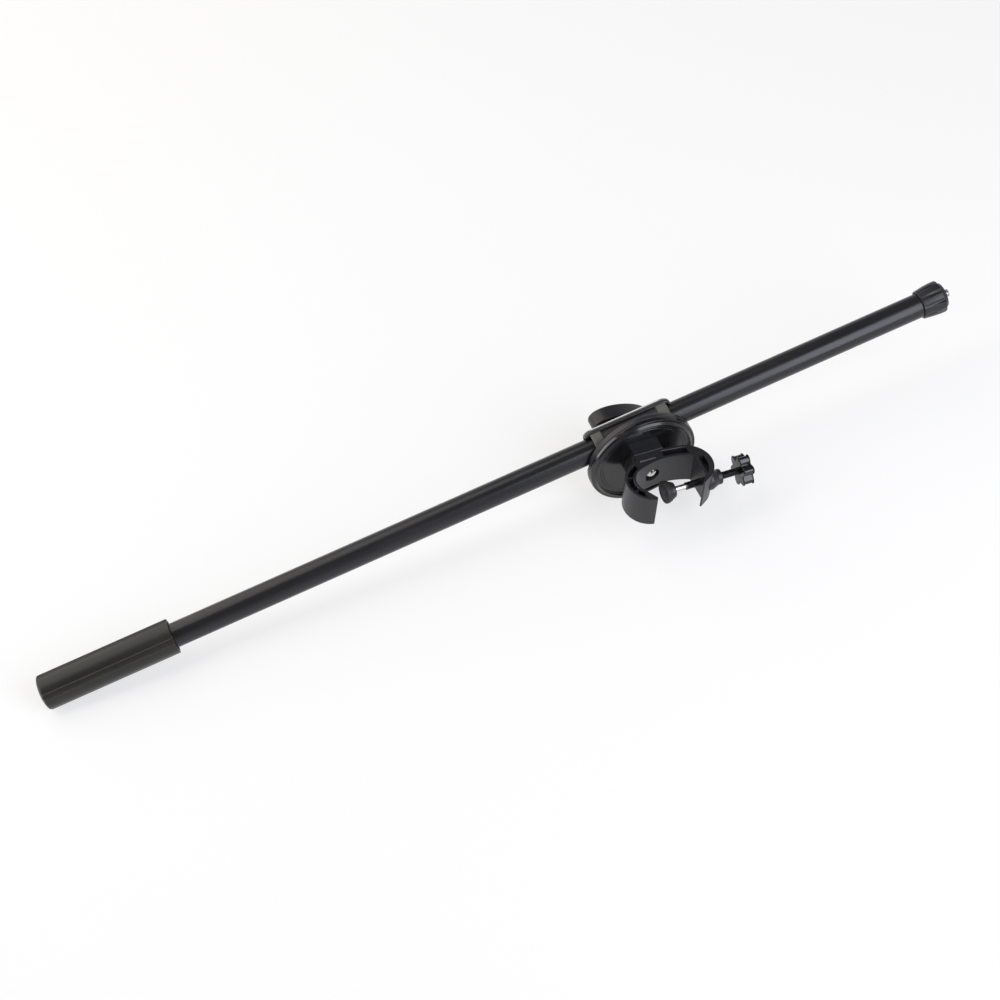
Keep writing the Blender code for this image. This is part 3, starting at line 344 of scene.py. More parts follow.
def carve(bm, operation, *tools):
    """Join tools to a shape, or cut them out of it, in one exact step."""
    group = bpy.data.collections.new("tools")
    items = []
    for shape in (bm, *tools):
        mesh = bpy.data.meshes.new("tool")
        shape.to_mesh(mesh)
        shape.free()
        item = bpy.data.objects.new("tool", mesh)
        bpy.context.scene.collection.objects.link(item)
        items.append(item)
    for item in items[1:]:
        group.objects.link(item)
    boolean = items[0].modifiers.new("carve", "BOOLEAN")
    boolean.operation = operation
    boolean.operand_type = "COLLECTION"
    boolean.collection = group
    boolean.solver = "EXACT"
    graph = bpy.context.evaluated_depsgraph_get()
    mesh = bpy.data.meshes.new_from_object(items[0].evaluated_get(graph))
    result = bmesh.new()
    result.from_mesh(mesh)
    bpy.data.meshes.remove(mesh)
    for item in items:
        bpy.data.meshes.remove(item.data)
    bpy.data.collections.remove(group)
    bmesh.ops.remove_doubles(result, verts=result.verts, dist=CARVE_WELD)
    bmesh.ops.dissolve_degenerate(result, edges=result.edges, dist=CARVE_WELD)
    return result


def show(bm, name, axes, body, slot, material, *nodes, sharp=32.0):
    """Carry a shape to its place, give it its finish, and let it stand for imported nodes."""
    mesh = bpy.data.meshes.new(name)
    bm.to_mesh(mesh)
    bm.free()
    mesh.transform(axes @ Matrix.Scale(MM, 4))
    mesh.shade_smooth()
    mesh.set_sharp_from_angle(angle=math.radians(sharp))
    mesh.materials.append(material)
    piece = bpy.data.objects.new(name, mesh)
    bpy.context.scene.collection.objects.link(piece)
    weighted = piece.modifiers.new("weighted_normals", "WEIGHTED_NORMAL")
    weighted.keep_sharp = True
    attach(piece, body)
    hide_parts(*nodes)
    return piece


# Finishes

def node(tree, kind, inputs=None, **settings):
    """Add a node with its settings, and link or set its inputs."""
    made = tree.nodes.new(kind)
    for name, value in settings.items():
        setattr(made, name, value)
    for name, value in (inputs or {}).items():
        if isinstance(value, bpy.types.NodeSocket):
            tree.links.new(value, made.inputs[name])
        else:
            made.inputs[name].default_value = value
    return made


# Patterns are (size in millimetres, detail, roughness, stretch along each axis). A grain has its depth
# in millimetres as well. Real mould grain and tool lines are 0.05 to 0.15 mm, finer than the picture
# can show, so grains are drawn 0.2 to 0.9 mm wide.
EVEN = (1.0, 1.0, 1.0)
MOULD_GRAIN = (0.4, 3.0, 0.6, EVEN, 0.006)
MOULD_FLOW = (12.0, 3.0, 0.55, EVEN)
NOISE_LOW = 0.3
NOISE_HIGH = 0.7


def new_finish(name, axes, colour, tints, gloss, cloud, *grains, **constants):
    """Make a material whose colour and gloss drift with a soft cloud, under fine bumps.

    The tints are factors on the colour, and the gloss is two roughnesses, one for each end of the
    cloud's range. Other keywords are constant inputs of the shader.
    """
    material = bpy.data.materials.new(name)
    material.use_nodes = True
    tree = material.node_tree
    tree.nodes.clear()
    turn = axes.inverted()
    coordinates = node(tree, "ShaderNodeTexCoord")
    mapping = node(tree, "ShaderNodeMapping", {
        "Vector": coordinates.outputs["Object"],
        "Location": turn.translation / MM,
        "Rotation": turn.to_euler(),
        "Scale": (1 / MM, 1 / MM, 1 / MM),
    })
    patterns = []
    for size, detail, roughness, stretch, *_ in (cloud, *grains):
        scaled = node(tree, "ShaderNodeVectorMath", {
            0: mapping.outputs["Vector"], 1: [1 / (size * along) for along in stretch]},
            operation="MULTIPLY")
        pattern = node(tree, "ShaderNodeTexNoise", {
            "Vector": scaled.outputs["Vector"], "Scale": 1.0, "Detail": detail, "Roughness": roughness})
        patterns.append(pattern.outputs["Fac"])
    spread = []
    for low, high in ((0.0, 1.0), gloss):
        ranged = node(tree, "ShaderNodeMapRange", {
            "Value": patterns[0], "From Min": NOISE_LOW, "From Max": NOISE_HIGH,
            "To Min": low, "To Max": high})
        spread.append(ranged.outputs["Result"])
    dark, light = [(*[min(1.0, channel * tint) for channel in colour[:3]], 1.0) for tint in tints]
    tinted = node(tree, "ShaderNodeMix", {"Factor": spread[0], 6: dark, 7: light}, data_type="RGBA")
    inputs = {"Base Color": tinted.outputs[2], "Roughness": spread[1], **constants}
    for grain, pattern in zip(grains, patterns[1:]):
        bump = {"Height": pattern, "Distance": grain[-1] * MM, "Strength": 1.0}
        if "Normal" in inputs:
            bump["Normal"] = inputs["Normal"]
        inputs["Normal"] = node(tree, "ShaderNodeBump", bump).outputs["Normal"]
    shader = node(tree, "ShaderNodeBsdfPrincipled", inputs)
    node(tree, "ShaderNodeOutputMaterial", {"Surface": shader.outputs["BSDF"]})
    return material


def add_band(material, colour, limits):
    """Lay a second colour over a finish, inside limits on its axes.

    Each limit is a measure, the place where the colour begins and the place where it is full, in
    millimetres. The measures are across, the distance from X 0 to either side, Y and Z.
    """
    tree = material.node_tree
    shader = tree.nodes["Principled BSDF"]
    place = node(tree, "ShaderNodeSeparateXYZ", {"Vector": tree.nodes["Mapping"].outputs["Vector"]})
    across = node(tree, "ShaderNodeMath", {0: place.outputs["X"]}, operation="ABSOLUTE")
    measures = {"across": across.outputs["Value"], "Y": place.outputs["Y"], "Z": place.outputs["Z"]}
    share = 1.0
    for measure, begins, full in limits:
        edge = node(tree, "ShaderNodeMapRange", {
            "Value": measures[measure], "From Min": begins, "From Max": full})
        product = node(tree, "ShaderNodeMath", {0: share, 1: edge.outputs["Result"]},
                       operation="MULTIPLY")
        share = product.outputs["Value"]
    plain = shader.inputs["Base Color"].links[0].from_socket
    mixed = node(tree, "ShaderNodeMix", {"Factor": share, 6: plain, 7: tuple(colour)}, data_type="RGBA")
    tree.links.new(mixed.outputs[2], shader.inputs["Base Color"])
    return material


def coated_aluminium(colours):
    """Drawn aluminium with a black powder coat: an even satin sheen over a fine orange peel."""
    peel = (0.55, 3.0, 0.6, EVEN, 0.005)
    drawn_lines = (0.9, 1.0, 0.5, (40.0, 1.0, 1.0), 0.003)
    cloud = (28.0, 2.0, 0.5, (2.5, 1.0, 1.0))
    return new_finish("powder_coated_aluminium", TUBE, colours.tube, (0.88, 1.12), (0.25, 0.31),
                      cloud, peel, drawn_lines, IOR=1.46)


def moulded_grip(colours):
    """Polypropylene from an etched mould: a dry, even grain that scatters the light."""
    flow = (22.0, 2.0, 0.5, (3.0, 1.0, 1.0))
    return new_finish("etched_polypropylene", TUBE, colours.grip, (0.86, 1.16), (0.34, 0.42),
                      flow, (0.45, 4.0, 0.65, EVEN, 0.008), IOR=1.43)


def moulded_nylon(colours):
    """Glass filled nylon with a satin moulded skin: soft light bands and a faint grain."""
    return new_finish("satin_moulded_nylon", STAND, colours.moulding, (0.88, 1.14), (0.32, 0.40),
                      MOULD_FLOW, MOULD_GRAIN, IOR=1.45)


def saddle_with_painted_highlight(colours):
    """The same nylon, with its two upper flanges coloured paler: a painted highlight that stands in for
    the sheen of the light on their rounded faces.
    """
    material = new_finish("moulded_nylon_painted_flange_highlight", ARM, colours.moulding, (0.88, 1.14), (0.33, 0.42),
                          MOULD_FLOW, MOULD_GRAIN, IOR=1.5)
    flange = SADDLE_HALF - FLANGE_WIDTH
    # Paler band over the flanges: a painted highlight
    return add_band(material, colours.flange, (
        ("across", flange - 0.6, flange + 0.4), ("Y", -9.61, -9.6), ("Z", 9.99, 10.0)))


def shoe_with_painted_edge_highlight(colours):
    """The same nylon, with a pale line painted along the shoe's upper front edge: a painted highlight
    that stands in for the white floor the edge mirrors at a grazing angle.
    """
    material = new_finish("moulded_nylon_painted_edge_highlight", ARM, colours.moulding, (0.88, 1.14), (0.33, 0.42),
                          MOULD_FLOW, MOULD_GRAIN, IOR=1.5)
    # Pale band along the shoe's edge: a painted highlight
    return add_band(material, colours.seam, (
        ("across", 30.0, 27.0), ("Y", 8.3, 8.8), ("Y", 11.5, 11.0), ("Z", 9.99, 10.0)))


# The polished mould's tool lines are about 0.1 mm apart. They are drawn 1.1 mm apart so that they show.
DISC_LINE_PITCH = 1.1
DISC_LINE_DEPTH = 0.0006


def polished_disc(colours):
    """Nylon from a polished mould: it mirrors the room, broken by the mould's faint turned rings."""
    material = new_finish("polished_moulded_nylon", STAND, colours.disc, (0.9, 1.12), (0.13, 0.19),
                          (16.0, 2.0, 0.5, EVEN), IOR=1.48)
    tree = material.node_tree
    where = tree.nodes["Mapping"].outputs["Vector"]
    level = node(tree, "ShaderNodeVectorMath", {0: where, 1: (1.0, 0.0, 1.0)}, operation="MULTIPLY")
    reach = node(tree, "ShaderNodeVectorMath", {0: level.outputs["Vector"]}, operation="LENGTH")
    turns = node(tree, "ShaderNodeMath", {0: reach.outputs["Value"], 1: math.tau / DISC_LINE_PITCH},
                 operation="MULTIPLY")
    wave = node(tree, "ShaderNodeMath", {0: turns.outputs["Value"]}, operation="SINE")
    bump = node(tree, "ShaderNodeBump", {
        "Height": wave.outputs["Value"], "Distance": DISC_LINE_DEPTH * MM, "Strength": 1.0})
    tree.links.new(bump.outputs["Normal"], tree.nodes["Principled BSDF"].inputs["Normal"])
    return material


def glossy_knob(colours):
    """Polished ABS: a hard gloss whose faint waviness bends the reflections."""
    sink = (5.0, 2.0, 0.5, EVEN)
    return new_finish("polished_abs", JAW, colours.knob, (0.9, 1.15), (0.12, 0.18),
                      sink, (*sink, 0.012), IOR=1.54)


def zinc_steel(colours):
    """Bright zinc plate on turned steel: silvery, with fine tool lines and a cloudy passivation."""
    tool_lines = (0.25, 2.0, 0.5, (1.0, 8.0, 8.0), 0.004)
    return new_finish("zinc_plated_steel", JAW, colours.bright, (0.86, 1.05), (0.14, 0.22),
                      (4.0, 2.0, 0.5, EVEN), tool_lines, Metallic=1.0)


def black_steel(colours):
    """Blackened steel: a dark oxide whose thin oil leaves a soft metallic glint."""
    return new_finish("black_oxide_steel", JAW, colours.dark, (0.8, 1.25), (0.30, 0.42),
                      (3.0, 2.0, 0.5, EVEN), (0.3, 3.0, 0.6, EVEN, 0.006), Metallic=1.0)


def turned_brass(colours):
    """Turned brass: warm metal with tool rings round its axis."""
    tool_lines = (0.2, 2.0, 0.5, (1.0, 10.0, 10.0), 0.004)
    return new_finish("turned_brass", JAW, colours.brass, (0.85, 1.05), (0.24, 0.34),
                      (3.0, 2.0, 0.5, EVEN), tool_lines, Metallic=1.0)


def moulded_rubber(colours):
    """Moulded rubber: a dull skin with a dusty bloom."""
    return new_finish("moulded_rubber", JAW, colours.rubber, (0.85, 1.5), (0.55, 0.70),
                      (3.5, 3.0, 0.6, EVEN), (0.35, 3.0, 0.6, EVEN, 0.02), IOR=1.52)


def pressed_fibre(colours):
    """Pressed fibre: matt and speckled, with its fibres standing out of the face."""
    fibres = (0.5, 4.0, 0.7, EVEN)
    return new_finish("pressed_fibre", STAND, colours.fibre, (0.6, 1.4), (0.85, 0.95),
                      fibres, (*fibres, 0.05), IOR=1.45)


FINISHES = {
    "tube": coated_aluminium,
    "grip": moulded_grip,
    "moulding": moulded_nylon,
    "saddle": saddle_with_painted_highlight,
    "shoe": shoe_with_painted_edge_highlight,
    "disc": polished_disc,
    "knob": glossy_knob,
    "bright": zinc_steel,
    "dark": black_steel,
    "brass": turned_brass,
    "rubber": moulded_rubber,
    "fibre": pressed_fibre,
}
made_finishes = {}


def finish(name):
    """The finish of that name, made when it is first asked for."""
    if name not in made_finishes:
        made_finishes[name] = FINISHES[name](bpy.context.scene.arm_colours)
    return made_finishes[name]


# Tube, grip, collar and stud

class ARM_OT_tube(bpy.types.Operator):
    """Make the long coated tube"""

    bl_idname = "arm.tube"
    bl_label = "Tube"

    def execute(self, context):
        low, high = span("boom_tube", TUBE)
        wall = mm(context.scene.arm_sizes.tube_wall)
        shape = washer(high.y, high.y - wall, low.x, high.x, LARGE, wall / 4)
        show(laid(shape, ALONG), "tube", TUBE, "boom", "tube", finish("tube"), "boom_tube")
        return {"FINISHED"}


GRIP_PANELS = 4
FLUTE_CENTRE = math.radians(52.0)
RIDGE_OFFSET = math.radians(9.0)
RIDGE_HALF = math.radians(4.2)
RIDGE_STEPS = 52
PANEL_STEPS = 26
GRIP_FLAT_SINK = 0.6
GRIP_END_WALL = 5.4
GRIP_MOUTH_DEPTH = 4.0
GRIP_MOUTH_GAP = 2.1
GRIP_DOME = 4.0
# Rounded edges of the grip's left end and mouth, as (distance from the end, inset)
GRIP_END_EDGE = ((0.9, 0.0), (0.5, 0.08), (0.2, 0.3), (0.05, 0.65))
GRIP_MOUTH_EDGE = ((0.0, 0.4), (0.12, 0.12), (0.4, 0.0))
GRIP_END_SHARES = (0.9, 0.75, 0.55, 0.35, 0.15, 0.03)


def grip_angles():
    """Angles round the grip, close together at its ridges."""
    pitch = math.tau / GRIP_PANELS
    near = RIDGE_OFFSET + 1.3 * RIDGE_HALF
    angles = []
    for index in range(GRIP_PANELS):
        centre = FLUTE_CENTRE + pitch * index
        angles += [centre - near + 2 * near * step / RIDGE_STEPS for step in range(RIDGE_STEPS)]
        panel = pitch - 2 * near
        angles += [centre + near + panel * step / PANEL_STEPS for step in range(PANEL_STEPS)]
    return angles


def grip_outline(panel_r, ridge):
    """Radii of the grip round its angles, counted from the top towards the front."""
    pitch = math.tau / GRIP_PANELS
    radii = []
    for angle in grip_angles():
        offset = abs((angle - FLUTE_CENTRE + pitch / 2) % pitch - pitch / 2)
        base = panel_r - ridge if offset < RIDGE_OFFSET else panel_r
        across = min(1.0, abs(offset - RIDGE_OFFSET) / RIDGE_HALF)
        radius = base + (panel_r + ridge - base) * math.cos(across * math.pi / 2) ** 2
        below = -math.cos(angle)
        if below > 0:
            radius = min(radius, (panel_r - GRIP_FLAT_SINK) / below)
        radii.append(radius)
    return radii


class ARM_OT_grip(bpy.types.Operator):
    """Make the moulded grip with its ridges, flutes and domed end"""

    bl_idname = "arm.grip"
    bl_label = "Grip"

    def execute(self, context):
        sizes = context.scene.arm_sizes
        low, high = span("handle_grip", TUBE)
        bore = span("boom_tube", TUBE)[1].y + FIT
        radii = grip_outline(bore + mm(sizes.grip_wall), mm(sizes.grip_ridge))
        angles = grip_angles()
        dome_r = max(radii) + 0.2

        def ring(x, each, dome=0.0):
            """Ring at a place along the tube, with a radius for each angle."""
            points = []
            for angle, r in zip(angles, each):
                fall = dome * (1 - math.sqrt(max(0.0, 1 - (r / dome_r) ** 2)))
                points.append(Vector((x + fall, -r * math.sin(angle), r * math.cos(angle))))
            return points

        def plain(radius):
            return [radius] * len(angles)

        def inset(amount):
            return [radius - amount for radius in radii]

        mouth = bore + GRIP_MOUTH_GAP
        floor = high.x - GRIP_MOUTH_DEPTH
        rings = [
            ring(low.x + GRIP_END_WALL, plain(bore)),
            ring(floor, plain(bore)),
            ring(floor, plain(mouth - 0.3)),
            ring(floor + 0.3, plain(mouth)),
            ring(high.x - 0.25, plain(mouth)),
            ring(high.x, plain(mouth + 0.2)),
        ]
        rings += [ring(high.x - along, inset(drop)) for along, drop in GRIP_MOUTH_EDGE]
        rings += [ring(low.x + along, inset(drop), GRIP_DOME) for along, drop in GRIP_END_EDGE]
        for share in GRIP_END_SHARES:
            rings.append(ring(low.x, [radius * share for radius in radii], GRIP_DOME))
        show(lofted(rings), "grip", TUBE, "boom", "grip", finish("grip"), "handle_grip")
        return {"FINISHED"}


COLLAR_FIT = 0.4
COLLAR_WALL = 1.4
COLLAR_FLARE = 1.5
COLLAR_NOSE_LENGTH = 2.6
COLLAR_NOSE_STEP = 2.0
COLLAR_HOLE_R = 3.4
COLLAR_GROOVE_HALF = 0.17
COLLAR_GROOVE_SHALLOW = 0.35
# Each rib falls away from its middle by this share of the groove's depth, over this share of a rib
COLLAR_CROWN = 0.0072
COLLAR_CROWN_REACH = 0.3
COLLAR_SKIRT = 10.0
COLLAR_FLARE_STEPS = 6
COLLAR_RIB_STEPS = 24


class ARM_OT_collar(bpy.types.Operator):
    """Make the thumb collar with its broad ribs and its tapered nose"""

    bl_idname = "arm.collar"
    bl_label = "Thumb collar"

    def execute(self, context):
        ribs = context.scene.arm_sizes.collar_ribs
        low, high = span("thumb_collar", TUBE)
        rear, nose = low.x, high.x
        bore = span("boom_tube", TUBE)[1].y + COLLAR_FIT
        rear_r = bore + COLLAR_WALL
        front_r = rear_r + COLLAR_FLARE
        nose_r = front_r - COLLAR_NOSE_STEP
        depth = COLLAR_FLARE - 0.1
        skirt = rear + COLLAR_SKIRT
        shoulder = nose - COLLAR_NOSE_LENGTH
        count = ribs * COLLAR_RIB_STEPS

        def ring(x, radius, groove=0.0):
            """Ring at a place along the tube, with grooves of the given depth between its ribs."""
            points = []
            for index in range(count):
                turn = math.tau * index / count
                share = abs((index * ribs / count) % 1 - 0.5)
                sunk = max(0.0, 1 - (share / COLLAR_GROOVE_HALF) ** 2) ** 0.5
                crown = COLLAR_CROWN * min(1.0, (0.5 - share) / COLLAR_CROWN_REACH)
                r = radius - groove * (sunk + crown)
                points.append(Vector((x, r * math.sin(turn), r * math.cos(turn))))
            return points

        rings = [
            ring(skirt, COLLAR_HOLE_R),
            ring(skirt, bore),
            ring(rear + 0.3, bore),
            ring(rear, bore + 0.25),
            ring(rear, rear_r - 0.45),
            ring(rear + 0.15, rear_r - 0.15),
            ring(rear + 0.5, rear_r, 0.1),
            ring(rear + 1.5, rear_r + 0.05, COLLAR_GROOVE_SHALLOW),
        ]
        for step in range(1, COLLAR_FLARE_STEPS + 1):
            share = step / COLLAR_FLARE_STEPS
            x = rear + 1.5 + (shoulder - 1.3 - rear - 1.5) * share
            flare = 0.05 + (COLLAR_FLARE - 0.05) * math.sin(share * math.pi / 2)
            rings.append(ring(x, rear_r + flare, COLLAR_GROOVE_SHALLOW + (flare - 0.1) * 0.8 * share))
        rings += [
            ring(shoulder - 0.6, front_r - 0.15, depth),
            ring(shoulder - 0.15, front_r - 0.55, depth * 0.8),
            ring(shoulder, front_r - 1.1, depth * 0.45),
            ring(shoulder, nose_r + 0.1),
            ring(shoulder + 0.2, nose_r),
            ring(nose - 0.5, nose_r - 1.1),
            ring(nose - 0.1, nose_r - 1.5),
            ring(nose, nose_r - 2.0),
            ring(nose, COLLAR_HOLE_R + 0.3),
            ring(nose - 0.3, COLLAR_HOLE_R),
        ]
        show(lofted(rings, closed=True), "thumb_collar_piece", TUBE, "collar", "moulding",
             finish("moulding"), "thumb_collar")
        return {"FINISHED"}


ROD_STEPS = 40
THREAD_STEPS = 12
# A thread's flank begins this share of a half turn from its root, and is this share of it wide
ROOT_SHARE = 0.12
FLANK_SHARE = 0.66


def circle(x, radius):
    """Ring of points round the X axis."""
    turns = [math.tau * index / ROD_STEPS for index in range(ROD_STEPS)]
    return [Vector((x, radius * math.cos(turn), radius * math.sin(turn))) for turn in turns]


def thread(start, end, radius, pitch, depth, chamfer):
    """Rings of a right-handed thread along X, with its last crests turned down to a chamfer."""
    steps = round((end - start) / pitch * THREAD_STEPS)
    rings = []
    for step in range(steps + 1):
        x = start + (end - start) * step / steps
        limit = radius - max(0.0, chamfer - (end - x))
        ring = []
        for index in range(ROD_STEPS):
            turn = math.tau * index / ROD_STEPS
            wave = abs((x / pitch - index / ROD_STEPS) % 1 * 2 - 1)
            crest = min(1.0, max(0.0, (wave - ROOT_SHARE) / FLANK_SHARE))
            r = min(limit, radius - depth * (1 - crest))
            ring.append(Vector((x, r * math.cos(turn), r * math.sin(turn))))
        rings.append(ring)
    return rings


STUD_R = 3.1
STUD_THREAD_DEPTH = 0.55
STUD_HEAD_R = 6.2
STUD_HEAD_HEIGHT = 4.0
STUD_THREAD_INSIDE = 3.0


class ARM_OT_stud(bpy.types.Operator):
    """Make the threaded stud with its hexagon head"""

    bl_idname = "arm.stud"
    bl_label = "Stud"

    def execute(self, context):
        low, high = span("stud_bolt", TUBE)
        pitch = mm(context.scene.arm_sizes.stud_pitch)
        neck = span("thumb_collar", TUBE)[1].x - STUD_THREAD_INSIDE
        rings = [
            circle(low.x, STUD_R - 0.3),
            circle(low.x + 0.3, STUD_R),
            circle(neck - 0.3, STUD_R),
            circle(neck, STUD_R - STUD_THREAD_DEPTH),
            *thread(neck + 0.2, high.x, STUD_R, pitch, STUD_THREAD_DEPTH, 0.6),
        ]
        left = span("stud_washer", TUBE)[1].x + FIT
        hexagon = arc((0.0, 0.0), STUD_HEAD_R, 0.0, math.tau * 5 / 6, 5)
        head = soften(prism(hexagon, left, left + STUD_HEAD_HEIGHT), 0.2, segments=2)
        show(carve(lofted(rings), "UNION", laid(head, ALONG)), "threaded_stud", TUBE, "collar",
             "bright_steel", finish("bright"), "stud_bolt")
        return {"FINISHED"}


# Saddle, lining and shoe

SADDLE_HALF = 31.0
SADDLE_DISC_THICKNESS = 4.5
SADDLE_BOSS_R = 8.0
FLANGE_WIDTH = 8.0
FLANGE_WALL = 2.5
PANEL_WALL = 1.3
SPLIT_BACK = 4.0
BOLT_HOLE_R = 3.2
BORE_CHAMFER = 0.6
RING_RECESS_INNER_R = 21.7


def tube_rise():
    """Height of the tube's axis over the clutch's axis."""
    return (ARM.inverted() @ TUBE.translation).z / MM


def saddle_bore_r():
    """Radius of the bore that the saddle and the shoe leave round the lining."""
    return span("tube_liner", TUBE)[1].y + FIT


class ARM_OT_saddle(bpy.types.Operator):
    """Make the saddle with its disc and the flanged arch over the tube"""

    bl_idname = "arm.saddle"
    bl_label = "Saddle"

    def execute(self, context):
        low, high = span("saddle", ARM)
        front = -low.y
        back = front - SADDLE_DISC_THICKNESS
        disc_r = high.x
        rise = tube_rise()
        bore = saddle_bore_r()
        flange_r = bore + FLANGE_WALL
        panel_r = bore + PANEL_WALL
        flange = SADDLE_HALF - FLANGE_WIDTH
        slope = (flange_r - panel_r) * 0.6
        disc = turned(rounded([
            (0.0, front, 0.0),
            (disc_r, front, 0.3),
            (disc_r, back, 1.3),
            (0.0, back, 0.0),
        ]), LARGE)
        arch = turned(rounded([
            (0.0, SADDLE_HALF, 0.0),
            (flange_r, SADDLE_HALF, 0.7),
            (flange_r, flange, 0.4),
            (panel_r, flange - slope, 0.4),
            (panel_r, -flange + slope, 0.4),
            (flange_r, -flange, 0.4),
            (flange_r, -SADDLE_HALF, 0.7),
            (0.0, -SADDLE_HALF, 0.0),
        ], steps=3), LARGE)
        boss = rod(SADDLE_BOSS_R, -SPLIT_BACK - 0.2, back + 0.2)
        shape = carve(laid(disc, TO_FRONT), "UNION", laid(arch, ALONG, (0.0, 0.0, rise)),
                      laid(boss, TO_FRONT))
        reach = 2 * disc_r
        behind = box((-reach, SPLIT_BACK, -reach), (reach, reach, reach))
        wide = bore + BORE_CHAMFER
        tunnel = turned(rounded([
            (0.0, reach, 0.0),
            (wide, reach, 0.0),
            (wide, SADDLE_HALF - 0.05, 0.0),
            (bore, SADDLE_HALF - BORE_CHAMFER, 0.0),
            (bore, BORE_CHAMFER - SADDLE_HALF, 0.0),
            (wide, 0.05 - SADDLE_HALF, 0.0),
            (wide, -reach, 0.0),
            (0.0, -reach, 0.0),
        ]), LARGE)
        hole = rod(BOLT_HOLE_R, -reach, reach)
        ring = span("friction_ring", ARM)[1]
        recess = washer(ring.x + FIT, RING_RECESS_INNER_R, -ring.y - FIT, front + 1.0, LARGE, 0.0)
        shape = carve(shape, "DIFFERENCE", behind, laid(tunnel, ALONG, (0.0, 0.0, rise)),
                      laid(hole, TO_FRONT), laid(recess, TO_FRONT))
        show(shape, "saddle_piece", ARM, "head", "moulding", finish("saddle"), "saddle")
        return {"FINISHED"}


SHOE_SPLIT = 4.05
SHOE_WALL = 3.8
SHOE_END_WALL = 0.8
SHOE_END_LENGTH = 8.0
SHOE_END_STEPS = 10
SHOE_BEAD = 2.0
SHOE_BOSS_R = 9.8


class ARM_OT_shoe(bpy.types.Operator):
    """Make the rounded shoe behind the tube"""

    bl_idname = "arm.shoe"
    bl_label = "Rear shoe"

    def execute(self, context):
        half = span("rear_shoe", TUBE)[1].x
        back = span("rear_shoe", ARM)[1].y
        bore = saddle_bore_r()
        full_r = bore + SHOE_WALL
        end_r = bore + SHOE_END_WALL

        def section(x, radius):
            """Section at x: from the split round the outside, and back along the bore."""
            outer = math.acos(SHOE_SPLIT / radius)
            inner = math.acos(SHOE_SPLIT / bore)
            gap = radius * math.sin(outer) - bore * math.sin(inner)
            bead = min(SHOE_BEAD, gap * 0.45)
            skip = 1.6 * bead / radius
            outside = arc((0.0, 0.0), radius, outer - skip, skip - outer, 36)
            inside = arc((0.0, 0.0), bore, -inner, inner, 30)
            corners = [
                (SHOE_SPLIT, radius * math.sin(outer), bead),
                *[(*point, 0.0) for point in outside],
                (SHOE_SPLIT, -radius * math.sin(outer), bead),
                (SHOE_SPLIT, -bore * math.sin(inner), 0.0),
                *[(*point, 0.0) for point in inside[1:]],
            ]
            return [Vector((x, y, z)) for y, z in rounded(corners, closed=True)]

        stations = []
        for step in range(SHOE_END_STEPS + 1):
            angle = math.pi / 2 * step / SHOE_END_STEPS
            radius = end_r + (full_r - end_r) * math.sin(angle)
            stations.append((half - SHOE_END_LENGTH * (1 - math.cos(angle)), radius))
        rings = [section(x, radius) for x, radius in stations]
        rings += [section(-x, radius) for x, radius in reversed(stations)]
        rise = (0.0, 0.0, tube_rise())
        shape = laid(lofted(rings), Matrix.Identity(4), rise)
        boss = rod(SHOE_BOSS_R, bore + 1.0, back, MIDDLE, 0.4)
        shape = carve(shape, "UNION", laid(boss, TO_BACK))
        hole = rod(BOLT_HOLE_R, -1.0, 2 * half)
        tunnel = rod(bore, -half - 5.0, half + 5.0, LARGE)
        shape = carve(shape, "DIFFERENCE", laid(hole, TO_BACK), laid(tunnel, ALONG, rise))
        show(shape, "shoe_piece", ARM, "head", "moulding", finish("shoe"), "rear_shoe")
        return {"FINISHED"}


LINER_WALL = 1.0


class ARM_OT_liner(bpy.types.Operator):
    """Make the slippery lining between the tube and the saddle"""

    bl_idname = "arm.liner"
    bl_label = "Tube lining"

    def execute(self, context):
        low, high = span("tube_liner", TUBE)
        shape = washer(high.y, high.y - LINER_WALL, low.x, high.x, LARGE, 0.2)
        show(laid(shape, ALONG), "lining", TUBE, "liner", "liner", finish("moulding"), "tube_liner")
        return {"FINISHED"}


# Front disc, clamp and their fastenings

DISC_WEB = 2.2
DISC_STEP = 1.5
DISC_LIP = 4.4
DISC_SLOPE = 4.2
DISC_LIP_WIDTH = 1.0
DISC_GROOVES = (33.0, 35.0)
DISC_GROOVE_DEPTH = 0.25
BLOCK_HALF_WIDTH = 12.0


class ARM_OT_front_disc(bpy.types.Operator):
    """Make the front disc with its raised rim and the block under the clamp"""

    bl_idname = "arm.front_disc"
    bl_label = "Front disc"

    def execute(self, context):
        low, high = span("front_disc", STAND)
        back = -high.y
        radius = high.x
        lip_r = radius - DISC_SLOPE
        well_r = lip_r - DISC_LIP_WIDTH
        web = back + DISC_WEB
        lip = back + DISC_LIP
        corners = [(0.0, web, 0.0)]
        for groove in DISC_GROOVES:
            corners += [
                (groove - 0.35, web, 0.15),
                (groove - 0.12, web - DISC_GROOVE_DEPTH, 0.0),
                (groove + 0.12, web - DISC_GROOVE_DEPTH, 0.0),
                (groove + 0.35, web, 0.15),
            ]
        corners += [
            (well_r, web, 0.7),
            (well_r, lip, 0.4),
            (lip_r, lip, 0.5),
            (lip_r + DISC_STEP, lip - DISC_STEP, 0.5),
            (radius - 0.6, lip - DISC_STEP, 0.5),
            (radius, back + 1.0, 0.4),
            (radius, back, 0.3),
            (0.0, back, 0.0),
        ]
        disc = laid(turned(rounded(corners, steps=8), 2 * LARGE), TO_FRONT)
        clamp_low, clamp_high = span("c_clamp_body", CLAMP)
        block = box((-BLOCK_HALF_WIDTH, low.y, clamp_low.z),
                    (BLOCK_HALF_WIDTH, -back - 1.0, clamp_high.z))
        shape = carve(disc, "UNION", soften(block, 0.5))
        hole = rod(BOLT_HOLE_R, back - 2.0, -low.y + 2.0)
        shape = carve(shape, "DIFFERENCE", laid(hole, TO_FRONT))
        show(shape, "front_disc_piece", STAND, "base", "moulding", finish("disc"), "front_disc")
        return {"FINISHED"}


